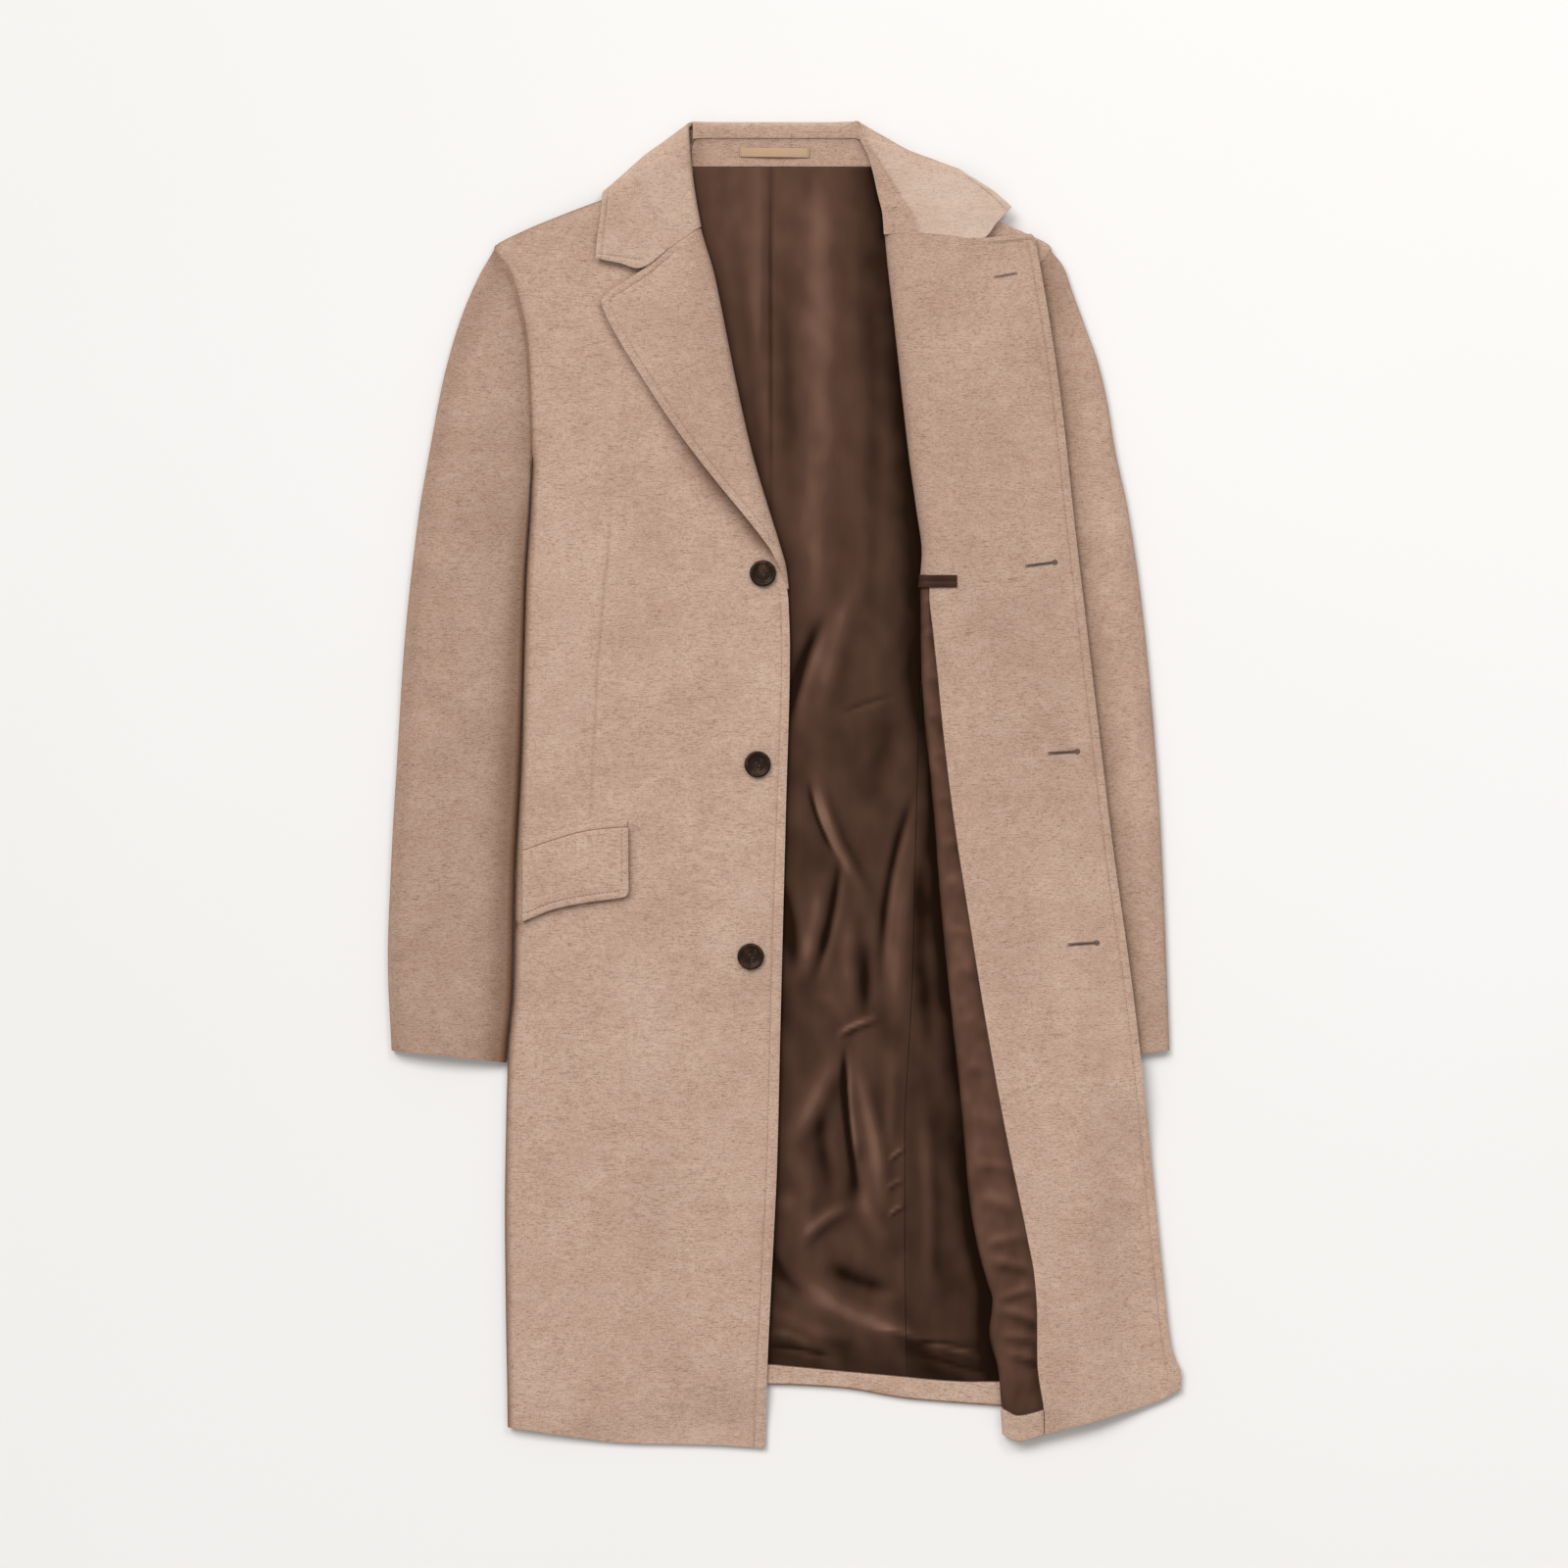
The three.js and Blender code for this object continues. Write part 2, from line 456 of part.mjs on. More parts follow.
// Neck seam of the stand, at the same stations
const STAND = table(["station", "x", "y", "gap"],
  [6, -73.5, 521.5, 1.4], [7, -62, 522.4, 1.4], [8, -9.5, 522.4, 1.4], [9, 40, 522.4, 1.4], [10, 56, 522.4, 2.6],
  [11, 61, 521.5, 5], [12, 66.5, 510, 2], [13, 71, 496, 1.4], [14, 75.5, 476, 1.4], [15, 79.4, 459, 1.4],
  [16, 81.5, 450.5, 1.4]);
const STATION_COUNT = COLLAR.length - 1;
const numbered = COLLAR.map((row, station) => ({ ...row, station }));
const collarCurves = Object.keys(COLLAR[0]).map((key) => [key, curve(numbered, key, "station")]);
const COLLAR_ROLL = 3;
function collarRib(station) {
  const read = Object.fromEntries(collarCurves.map(([key, at]) => [key, at(station)]));
  const fold = new THREE.Vector3(read.foldX, read.foldY, (read.stand + read.fall) / 2);
  const middle = new THREE.Vector3(read.midX, read.midY, (read.fall + read.rim) / 2);
  const edge = new THREE.Vector3(read.edgeX, read.edgeY, read.rim);
  const out = middle.clone().sub(fold).setZ(0).normalize();
  const half = COLLAR_CLOTH / 2;
  const start = fold.clone().addScaledVector(out, half + COLLAR_ROLL * read.turn).setZ(read.stand);
  const apex = fold.clone().addScaledVector(out, half);
  const end = fold.clone().addScaledVector(out, half + COLLAR_ROLL).setZ(read.fall);
  const early = start.clone().lerp(apex, 0.6).setZ(lerp(read.stand, apex.z, 0.15));
  const late = end.clone().lerp(apex, 0.6).setZ(lerp(read.fall, apex.z, 0.3));
  const upper = end.clone().lerp(middle, 0.5);
  const lower = middle.clone().lerp(edge, 0.5);
  return [start, early, apex, late, end, upper, middle, lower, edge];
}
function ribPoint(points, u) {
  const i = Math.min(Math.max(Math.floor(u), 0), points.length - 2);
  return points[i].clone().lerp(points[i + 1], u - i);
}
add("collar", wall((u, v) => ribPoint(collarRib(v), u), spread(0, 8, 8), spread(0, STATION_COUNT, STATION_COUNT),
  COLLAR_CLOTH), wool);
const standSeam = Object.fromEntries(["x", "y", "gap"].map((key) => [key, curve(STAND, key, "station")]));
function standPoint(u, v) {
  const top = collarRib(v)[0];
  const neck = new THREE.Vector3(standSeam.x(v), standSeam.y(v), top.z);
  return top.clone().lerp(neck, lerp(standSeam.gap(v) / top.distanceTo(neck), 1, u));
}
add("collar_stand", wall(standPoint, [0, 0.5, 1], STAND.map((row) => row.station), COLLAR_CLOTH), wool);

// Neck facing, hanger loop, hem and linings lie inside on the back
const insideLevel = (y, thickness) => backLevel(y) + CLOTH / 2 + SEAM_GAP + thickness / 2;
const NECK_FACING_LOW_Y = 498.5;
const NECK_SEAM_Y = 521;
const neckLeft = (y) => lerp(-73, -64, smoothstep(y, 511, NECK_SEAM_Y));
const neckRight = (y) => lerp(62, 53, smoothstep(y, 505, NECK_SEAM_Y));
function inside(left, right, thickness, ripple = () => 0) {
  return (u, v) => {
    const x = lerp(left(v), right(v), u);
    return new THREE.Vector3(x, v, insideLevel(v, thickness) + ripple(x, v));
  };
}
add("neck_facing", wall(inside(neckLeft, neckRight, FACING_CLOTH), [0, 0.5, 1],
  [NECK_FACING_LOW_Y, 505, 511, NECK_SEAM_Y], FACING_CLOTH), wool);
const LOOP = { left: -35.5, right: 20.5, low: 506, high: 513.5, thickness: 1.2, tilt: -0.012, bow: 1.2 };
const loopLevel = insideLevel(LOOP.low, FACING_CLOTH) + FACING_CLOTH / 2 + SEAM_GAP + LOOP.thickness / 2;
add("hanger_loop", wall((u, v) => {
  const x = lerp(LOOP.left, LOOP.right, u);
  return new THREE.Vector3(x, v + LOOP.tilt * x, loopLevel + LOOP.bow * Math.sin(Math.PI * u) ** 2);
}, spread(0, 1, 6), [LOOP.low, LOOP.high], LOOP.thickness), tape);

// Lining's folds, each a soft ridge from one place to another
const RIPPLES = table(["fromX", "fromY", "toX", "toY", "height", "width"],
  [-9.5, 500, -9.5, 300, 1.1, 5],
  [21, 5, 64, -81, 1.4, 9],
  [55, -198, 77, -179, 1.2, 8],
  [41, -323, 75, -367, 1.2, 9],
  [25, -427, 84, -449, 1, 7]);
function ripple(x, y) {
  return RIPPLES.reduce((sum, fold) => {
    const run = new THREE.Vector2(fold.toX - fold.fromX, fold.toY - fold.fromY);
    const place = new THREE.Vector2(x - fold.fromX, y - fold.fromY);
    const share = THREE.MathUtils.clamp(place.dot(run) / run.lengthSq(), 0, 1);
    const away = place.sub(run.clone().multiplyScalar(share)).length();
    return sum + fold.height * Math.exp(-((away / fold.width) ** 2)) * Math.sin(Math.PI * lerp(0.15, 0.85, share));
  }, 0);
}
const SIDE_SEAM = table(["y", "x"],
  [-500, 99.8], [-363, 97.6], [-281, 97.6], [-192, 102], [-148, 104], [-15, 107], [150, 112], [NECK_FACING_LOW_Y, 112]);
const liningSeam = curve(SIDE_SEAM, "x");
const liningLeft = (y) => Math.max(rightEdge(y) - 22, lerp(-67, -73, smoothstep(y, 452, 485)));
const liningRight = (y) =>
  Math.min(liningSeam(y), leftFold(y) + lerp(16, 5, smoothstep(y, 390, 440)) - 16 * smoothstep(y, 465, 498));
const LINING_TOP_Y = NECK_FACING_LOW_Y - SEAM_GAP;
const liningBack = inside(liningLeft, (y) => liningRight(y) - SEAM_GAP / 2, LINING_CLOTH, ripple);
const LINING_FLOOR_Y = -474;
function toLiningHem(point) {
  return (u, v) => {
    const place = point(u, v);
    return place.setY(towardHem(v, LINING_FLOOR_Y, liningHem(place.x)));
  };
}
const LINING_ROWS = [LINING_FLOOR_Y, -449, -427, -400, -367, -345, -323, -280, -198, -179, -120, -81, -38, 5, 60];
add("lining_back", wall(toLiningHem(liningBack), spread(0, 1, 9),
  [...LINING_ROWS, 150, 240, 330, 430, 445, 458, LINING_TOP_Y], LINING_CLOTH), satin);
const LINING_SIDE_ROWS = [LINING_FLOOR_Y, -367, -280, -192, -148, -38, 60, 150];
add("lining_side", wall(toLiningHem(inside((y) => liningSeam(y) + SEAM_GAP / 2, (y) => leftFold(y) + 18,
  LINING_CLOTH)), [0, 0.5, 1], LINING_SIDE_ROWS, LINING_CLOTH), satin);
add("back_hem", wall((u, v) => {
  const x = lerp(-38, 196, u);
  const low = backHem(x) + 1;
  return new THREE.Vector3(x, lerp(low, liningHem(x) - 3 * SEAM_GAP, v), insideLevel(low, FACING_CLOTH));
}, spread(0, 1, 6), [0, 1], FACING_CLOTH), wool);

// Right pocket: a narrow jet along the opening and the flap hanging from it
const POCKET = table(["x", "jetTop", "jetLow", "flapLow"],
  [-212, -45.5, -53.4, -110.5], [-184, -37.1, -43.6, -99.5], [-156, -31, -36.4, -94], [-129, -28.6, -34, -90.1],
  [-125, -28.6, -34, -88]);
const pocket = Object.fromEntries(["jetTop", "jetLow", "flapLow"].map((key) => [key, curve(POCKET, key, "x")]));
const FLAP_RIGHT_X = -125.5;
const frontTop = (thickness) => FRONT_Z + CLOTH / 2 + SEAM_GAP + thickness / 2;
function pocketPiece(high, low, right, thickness) {
  return (u, v) => {
    const left = bodySide("right", -80) + SIDE_REACH + 1;
    const x = lerp(left, right, u);
    return new THREE.Vector3(x, lerp(low(x), high(x), v), frontTop(thickness));
  };
}
add("pocket_flap", wall(pocketPiece((x) => pocket.jetLow(x) - SEAM_GAP, pocket.flapLow, FLAP_RIGHT_X, CLOTH),
  spread(0, 1, 6), [0, 0.5, 1], CLOTH), wool);
const JET_CLOTH = 1.4;
add("pocket_jet", wall(pocketPiece(pocket.jetTop, pocket.jetLow, FLAP_RIGHT_X - 2.4, JET_CLOTH),
  spread(0, 1, 6), [0, 1], JET_CLOTH), wool);

// Inner pocket's jet at the facing's edge
const INNER_JET = { left: 118, right: 139, y: 164, height: 9, thickness: 0.8 };
add("inner_pocket_jet", wall(onTurned((u, v) => turnedAt(lerp(INNER_JET.left, INNER_JET.right, u), v),
  FACING_LIFT + FACING_CLOTH / 2 + 1.5 * SEAM_GAP + INNER_JET.thickness / 2), spread(0, 1, 4),
  [INNER_JET.y - INNER_JET.height / 2, INNER_JET.y + INNER_JET.height / 2], INNER_JET.thickness), satin);

// Buttons: a raised rim round a dished middle with four sewing holes
const HOLE = { radius: 1, offset: 2.3 };
const BUTTONS = table(["x", "y"], [-17, 170.6], [-21.3, 16.6], [-26.9, -138.3]);
function buttonGeometry() {
  const radius = BUTTON_DIAMETER / 2;
  const profile = [[0, 0], [0.72, 0], [0.93, 0.3], [1, 0.6], [0.96, 0.88], [0.86, 1], [0.74, 0.9], [0.62, 0.66], [0, 0.6]];
  const shape = profile.map(([across, up]) => new THREE.Vector2(across * radius, up * BUTTON_HEIGHT));
  let body = solid(new THREE.LatheGeometry(shape, 18));
  for (const turn of [0, 1, 2, 3]) {
    const hole = new THREE.CylinderGeometry(HOLE.radius, HOLE.radius, 3 * BUTTON_HEIGHT, 6);
    const angle = Math.PI / 4 + quarter(turn);
    hole.translate(HOLE.offset * Math.cos(angle), BUTTON_HEIGHT / 2, HOLE.offset * Math.sin(angle));
    body = body.subtract(solid(hole));
  }
  return fromSolid(body).rotateX(Math.PI / 2);
}
BUTTONS.forEach((place, i) => {
  const button = add(`button_${i + 1}`, buttonGeometry(), horn);
  button.position.set(place.x, place.y, FRONT_Z + CLOTH / 2 + SEAM_GAP);
});

export default group;
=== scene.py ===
# Wool overcoat lying flat on its back, its left front turned open. Sides are the wearer's.
import math

import bmesh
import bpy
from mathutils import Matrix, Vector, noise


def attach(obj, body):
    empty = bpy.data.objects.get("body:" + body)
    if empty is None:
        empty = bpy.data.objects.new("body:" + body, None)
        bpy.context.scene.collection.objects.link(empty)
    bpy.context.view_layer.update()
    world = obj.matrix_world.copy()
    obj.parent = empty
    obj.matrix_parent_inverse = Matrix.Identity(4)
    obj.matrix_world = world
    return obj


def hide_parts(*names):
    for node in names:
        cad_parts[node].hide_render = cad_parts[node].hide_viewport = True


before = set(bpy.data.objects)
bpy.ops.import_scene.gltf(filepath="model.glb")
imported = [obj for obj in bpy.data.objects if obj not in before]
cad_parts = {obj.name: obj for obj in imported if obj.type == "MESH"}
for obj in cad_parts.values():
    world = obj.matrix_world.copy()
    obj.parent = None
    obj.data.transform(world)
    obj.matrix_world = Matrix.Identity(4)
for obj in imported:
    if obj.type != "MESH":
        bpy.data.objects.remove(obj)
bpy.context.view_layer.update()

# Sizes are in mm until a piece's mesh is made
MM = 0.001
PHOTO_WIDTH = 1264
CAMERA_HEIGHT = 6.0
SENSOR = 36


def add_camera():
    lens = bpy.data.cameras.new("camera")
    lens.sensor_width = SENSOR
    lens.lens = SENSOR * CAMERA_HEIGHT / (PHOTO_WIDTH * MM)
    camera = bpy.data.objects.new("camera", lens)
    camera.location = (0, 0.8 * MM, CAMERA_HEIGHT + 0.01)
    bpy.context.collection.objects.link(camera)
    bpy.context.scene.camera = camera


add_camera()

# Driving sizes of the coat
BODY_CENTRE = -9.5
CLOTH = 2.4
COLLAR_CLOTH = 3
FACING_CLOTH = 2
LINING_CLOTH = 1
SEAM_GAP = 0.3
FOLD_GAP = 0.35
BUTTON_RADIUS = 10.75
BUTTON_HEIGHT = 3.6

BACK_Z = CLOTH / 2
FRONT_Z = 6.4
TURNED_Z = 10.6
NECK_LIFT_OF_BACK = 3.5
NECK_LIFT_OF_FRONT = 1.3
ARMPIT_Y = 257.5
SHOULDER_Y = 432
NECK_POINT_Y = 494
BREAK_Y = 178
SIDE_REACH = 5
SHOULDER_REACH = 3.4
SLEEVE_REACH = 5.5
ARMHOLE_LAP = 1.1


def table(names, *rows):
    """Rows of a table as dictionaries by the names of its columns."""
    return [dict(zip(names.split(), row)) for row in rows]


def curve(rows, key, at="y"):
    """Smooth curve through one column of a table that never swings past its rows."""
    places = [row[at] for row in rows]
    values = [row[key] for row in rows]
    last = len(places) - 1
    steps = [(values[i + 1] - values[i]) / (places[i + 1] - places[i]) for i in range(last)]
    slopes = []
    for i in range(last + 1):
        before, after = steps[max(i - 1, 0)], steps[min(i, last - 1)]
        slopes.append(2 * before * after / (before + after) if before * after > 0 else 0)

    def read(place):
        i = 0
        while i < last - 1 and place > places[i + 1]:
            i += 1
        span = places[i + 1] - places[i]
        t = min(max((place - places[i]) / span, 0), 1)
        rise = values[i + 1] - values[i]
        ease = t * t * (3 - 2 * t)
        pull = t * (1 - t) * span * ((1 - t) * slopes[i] - t * slopes[i + 1])
        return values[i] + rise * ease + pull

    return read


def lerp(start, end, share):
    return start + (end - start) * share


def smoothstep(value, low, high):
    t = min(max((value - low) / (high - low), 0), 1)
    return t * t * (3 - 2 * t)


def spread(start, end, count):
    return [lerp(start, end, i / count) for i in range(count + 1)]


def quarter(share):
    return share * math.pi / 2


# Outline of the body seen from above, and its side seams below the armpits
YOKE = table(
    "y reach",
    (257.5, 193.5), (289, 194.5), (321, 196), (347, 197.5), (370, 200.5), (397, 207), (416, 214),
    (432, 225.5), (445, 203.5), (457, 174.5), (468, 146), (473, 132), (500, 74), (512, 70), (521, 59))
SIDES = table(
    "y right left",
    (-535, -223, 240), (-420, -224.5, 229), (-347, -225.5, 224), (-224, -223, 212.5), (-163, -218, 207),
    (-78, -216.5, 201), (26, -211.7, 195), (157, -208.6, 189.5), (222, -204.5, 185.5), (257.5, -203, 184))
yoke = curve(YOKE, "reach")
sides = {"right": curve(SIDES, "right"), "left": curve(SIDES, "left")}
outward = {"right": -1, "left": 1}


def body_side(side, y):
    return BODY_CENTRE + outward[side] * yoke(y) if y > ARMPIT_Y else sides[side](y)


# Right front's edge up to the break, then the line on which the lapel rolls
RIGHT_EDGE = table(
    "y x",
    (-535, -16), (-467, -13.4), (-400, -10.2), (-300, -5.5), (-195, -3), (-15, 1.6), (110, 4.7),
    (150, 3.4), (175, 1.6), (192, -2.8), (222, -12.2), (266, -25.3), (321, -37.9), (385, -50.6),
    (414, -56.9), (450, -67.2), (469, -70.3), (501, -74.7), (532, -76.6))
LAPEL = table(
    "y x",
    (158, 2.8), (164, 1.4), (171, -1), (178, -4.4), (190, -11), (199, -17.4), (217, -31.8), (238.6, -49.8),
    (263, -69.2), (294, -91.8), (328, -114), (362, -134.8), (380, -144), (390, -147), (394, -144.6),
    (403, -132.7), (415.5, -114), (421, -107.3), (436, -88.5), (447, -75.5))
RIGHT_NECK = table("y x", (447, -79.5), (475, -85), (494, -87.5))
right_edge = curve(RIGHT_EDGE, "x")
lapel_edge = curve(LAPEL, "x")
right_neck = curve(RIGHT_NECK, "x")

# Left front's fold, its free edge and its facing's inner edge
LEFT_FOLD = table(
    "y x",
    (-535, 178), (-505, 176), (-467, 172), (-440, 164.5), (-415, 167), (-401, 163), (-374, 155.6),
    (-344, 150), (-259, 142), (-170, 132.7), (-92, 125), (-5, 118.5), (58, 112), (100, 109.5),
    (156, 109), (187, 111), (222, 106.7), (268, 100.3), (332, 93.2), (389, 86.9), (435, 81.6), (500, 77))
LEFT_EDGE = table(
    "y x",
    (-487, 320), (-458, 312.8), (-390, 304.9), (-270, 293), (-166, 281), (-48, 264.7), (58, 252),
    (132, 243.3), (206, 234.6), (300, 224.4), (363, 215.7), (423, 205.4), (440, 202.2))
FACING_EDGE = table(
    "y x",
    (-535, 210.5), (-494, 210), (-458, 204), (-427, 203.8), (-395, 201.5), (-365, 196), (-276, 177.8),
    (-188, 162), (-104, 148.5), (-27, 136.7), (37, 128.8), (100, 122.5), (153, 116), (170, 110), (440, 60))
left_fold = curve(LEFT_FOLD, "x")
left_edge = curve(LEFT_EDGE, "x")
facing_edge = curve(FACING_EDGE, "x")

# Hems by their place across the coat
right_hem = curve(table("x y", (-223, -518), (-196, -522), (-124, -531),
                               (-55, -532.5), (-16, -535)), "y", "x")
back_hem = curve(table(
    "x y",
    (-223, -516), (-158, -505), (-79, -489), (-13, -484), (45, -486.6), (97, -495), (143, -499),
    (240, -505)), "y", "x")
turned_hem = curve(table(
    "x y",
    (176, -521), (188, -529), (211, -523), (256, -511), (302, -497), (320, -487.4)), "y", "x")
turned_top = curve(table("x y", (81, 448), (116, 445), (157, 440.8), (199, 444), (202.2, 440)), "y", "x")
lining_hem = curve(table(
    "x y", (-40, -465), (-12.6, -467), (75, -475), (154, -481), (200, -481)), "y", "x")

# Sleeves: outer edge beside the coat
SLEEVES = {
    "right": table(
        "y outer",
        (-214, -317), (-142, -320), (-58, -317), (26, -312), (111, -306.5), (222, -294), (268, -286),
        (325, -275.7), (370, -264), (410, -248), (432, -235.5)),
    "left": table(
        "y outer",
        (-214, 311.3), (-125, 308), (-27, 303.4), (69, 296.3), (153, 287.6), (222, 277.3), (274, 266.2),
        (310, 260.7), (342, 253.6), (372, 243.3), (401, 233), (419, 226.7), (432, 216.5)),
}
CUFF_OUTER_Y = -214
CUFF_INNER_Y = -224
SLEEVE_TO_BODY = 0.7


# Mesh making
def link(name, mesh):
    piece = bpy.data.objects.new(name, mesh)
    bpy.context.collection.objects.link(piece)
    return piece


def finished(name, form, material, smooth=True):
    """Object with the form's mesh, riding on the coat's body."""
    for face in form.faces:
        face.smooth = smooth
    mesh = bpy.data.meshes.new(name)
    form.to_mesh(mesh)
    form.free()
    mesh.materials.append(material)
    piece = link(name, mesh)
    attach(piece, "root")
    return piece


def shell(name, point, columns, rows, thickness, material, slot, cover=None, lift=0, relief=None,
          shade=None):
    """Thin wall of cloth over the surface point(u, v), moved out by lift and by relief along its normal."""
    form = bmesh.new()
    bmesh.ops.create_grid(form, x_segments=len(columns) - 1, y_segments=len(rows) - 1, size=1)
    shading = form.verts.layers.float.new("shade")
    places = {}
    for vert in form.verts:
        u = columns[round((vert.co.x + 1) / 2 * (len(columns) - 1))]
        v = rows[round((vert.co.y + 1) / 2 * (len(rows) - 1))]
        places[vert] = (u, v)
        vert.co = point(u, v)
    if cover:
        bare = []
        for face in form.faces:
            u = sum(places[vert][0] for vert in face.verts) / 4
            v = sum(places[vert][1] for vert in face.verts) / 4
            if not cover(u, v):
                bare.append(face)
        bmesh.ops.delete(form, geom=bare, context="FACES")
    form.normal_update()
    if lift or relief:
        moves = []
        for vert in form.verts:
            up = relief(vert.co.x, vert.co.y, *places[vert]) if relief else 0
            facing_up = 1 if vert.normal.z >= 0 else -1
            base_lift = lift(places[vert][1]) if callable(lift) else lift
            moves.append(vert.normal * (base_lift + up * facing_up))
        for vert, move in zip(form.verts, moves):
            vert.co += move
    # Painted shade and highlight stored per vertex: positive values darken the colour, negative ones lighten it.
    if shade:
        for vert in form.verts:
            vert[shading] = min(max(shade(vert.co.x, vert.co.y, *places[vert]), -1), 1)
    bmesh.ops.scale(form, vec=(MM, MM, MM), verts=form.verts)
    piece = finished(name, form, material)
    wall = piece.modifiers.new("wall", "SOLIDIFY")
    wall.thickness = thickness * MM
    wall.offset = 0
    rim = piece.modifiers.new("rim", "BEVEL")
    rim.limit_method = "ANGLE"
    rim.angle_limit = math.radians(55)
    rim.width = 0.34 * thickness * MM
    rim.segments = 2
    return piece


def folds(rows):
    """Height of soft ridges and troughs, each along a line that bends a little to one side."""
    prepared = []
    for row in rows:
        run_x, run_y = row["toX"] - row["fromX"], row["toY"] - row["fromY"]
        length = math.hypot(run_x, run_y)
        prepared.append((row["fromX"], row["fromY"], run_x / length, run_y / length, length,
                         row["bend"], row["height"], row["width"]))

    def height(x, y):
        total = 0
        for from_x, from_y, dir_x, dir_y, length, bend, tall, wide in prepared:
            along = (x - from_x) * dir_x + (y - from_y) * dir_y
            if 0 < along < length:
                share = along / length
                away = (y - from_y) * dir_x - (x - from_x) * dir_y - bend * math.sin(math.pi * share)
                if abs(away) < 3 * wide:
                    fade = smoothstep(share, 0, 0.35) * (1 - smoothstep(share, 0.6, 1))
                    total += tall * fade * math.exp(-((away / wide) ** 2))
        return total

    return height


def swell(x, y, size, seed):
    """Gentle uneven rise and fall of lying cloth, from -1 to 1."""
    return noise.noise(Vector((x / size, y / (1.5 * size), seed)))


def stitched(distance, inset=6.3, depth=0.75):
    """Relief beside an edge: a full rim, and the valley that a row of stitches pulls in."""
    rim = 0.35 * smoothstep(distance, 0.5, 2) * (1 - smoothstep(distance, inset - 2, inset))
    return rim - depth * math.exp(-(((distance - inset) / 1.1) ** 2))


def edge_distance(edge, x, y):
    """Distance from an edge that runs up the coat as x = edge(y)."""
    slope = (edge(y + 1) - edge(y - 1)) / 2
    return abs(x - edge(y)) / math.sqrt(1 + slope * slope)


# The collar's fall lies under the back at the neck and lifts both layers there
def neck_lift(y):
    return smoothstep(y, 434, 456)


def back_level(y):
    return BACK_Z + NECK_LIFT_OF_BACK * neck_lift(y)


def front_level(y):
    return FRONT_Z + NECK_LIFT_OF_FRONT * neck_lift(y)


def side_fold(y):
    """One where front and back meet in a fold, none where a sleeve is sewn between them."""
    return 1 - smoothstep(y, ARMPIT_Y, 275) + smoothstep(y, 405, SHOULDER_Y) - smoothstep(y, 497, 505)


def side_turn(side, y, u, level, seam_offset):
    """Point near a folded side: u from 0 at the seam to 1 where the panel lies flat."""
    fold = side_fold(y)
    reach = lerp(SIDE_REACH, SHOULDER_REACH, smoothstep(y, 416, 445))
    inset = SEAM_GAP / 2 + CLOTH / 2 * fold + reach * (1 - math.cos(quarter(u)))
    inset -= ARMHOLE_LAP * (1 - fold) * (1 - u)
    edge_level = (back_level(y) + front_level(y)) / 2 + seam_offset
    z = level - (level - edge_level) * fold * (1 - math.sin(quarter(u)))
    return Vector((body_side(side, y) - outward[side] * inset, y, z))


HEM_BLEND = 70


def toward_hem(y, floor_y, hem_y):
    return y + (hem_y - floor_y) * (1 - smoothstep(y, floor_y, floor_y + HEM_BLEND))


# Fronts
ROLL_REACH = 3
FACING_LIFT = CLOTH / 2 + SEAM_GAP + FACING_CLOTH / 2
FACING_SKIN = FACING_LIFT + FACING_CLOTH / 2
ROLL_HEIGHT = 6
HEM_SAG = 3.4
LAPEL_FALL = 50
RIGHT_FLOOR_Y = -518
LAPEL_START_Y = 158
LAPEL_LOW_Y = 187
LAPEL_HIGH_Y = 448


def rolled(y):
    """How far the lapel has left the front edge: none below the break, one above it."""
    opening = lerp(0.1, 1, smoothstep(y, LAPEL_START_Y, LAPEL_LOW_Y))
    return opening * smoothstep(y, LAPEL_START_Y - 8, LAPEL_START_Y)


def roll_centre(y):
    return right_edge(y) - (FACING_SKIN + ROLL_REACH) * rolled(y)


def right_front_point(u, v):
    """u from 0 to 2 is the panel, to 3 the lapel's roll, to 4 the lapel's underside."""
    low = front_level(v)
    centre = roll_centre(v)
    layers = (CLOTH + 2 * SEAM_GAP) * rolled(v)
    high = smoothstep(v, BREAK_Y - 30, 240) * (1 - 0.32 * smoothstep(v, 432, LAPEL_HIGH_Y))
    height = max(ROLL_HEIGHT * high * rolled(v), layers)
    if u > 3:
        rest = low + layers
        top = low + height
        edge = min(lapel_edge(v), centre - 0.4)
        fall = smoothstep(u, 3, 4) * smoothstep(centre - edge, 0, LAPEL_FALL)
        return Vector((lerp(centre, edge, u - 3), v, lerp(top, rest, fall)))
    if u > 2:
        angle = (u - 2.5) * math.pi
        z = low + height * (1 + math.sin(angle)) / 2
        return Vector((centre + ROLL_REACH * rolled(v) * math.cos(angle), v, z))
    start = side_turn("right", v, min(u, 1), low, FOLD_GAP)
    x = start.x
    if u > 1:
        x = lerp(start.x, lerp(centre, right_neck(v), smoothstep(v, 447, 452)), u - 1)
    y = toward_hem(v, RIGHT_FLOOR_Y, right_hem(x))
    sag = HEM_SAG * smoothstep(back_hem(x) - y, 1, 36)
    return Vector((x, y, start.z - sag))


FOLD_REACH = 4.5
FOLD_HEIGHT = table(
    "y height",
    (-530, 4.8), (-440, 7), (-300, 9), (160, 9), (300, 7.5), (400, 4.6), (449, 3.8))
fold_height = curve(FOLD_HEIGHT, "height")
FOLD_FALL = 80
LEFT_FLOOR_Y = -505
TURNED_TOP_Y = 440
STRIP_LOW_Y = -487
LEFT_NECK_Y = 482
FACING_STEP_Y = 164
SINK = 8.8


def fold_centre(y):
    return left_fold(y) + FACING_SKIN + FOLD_REACH


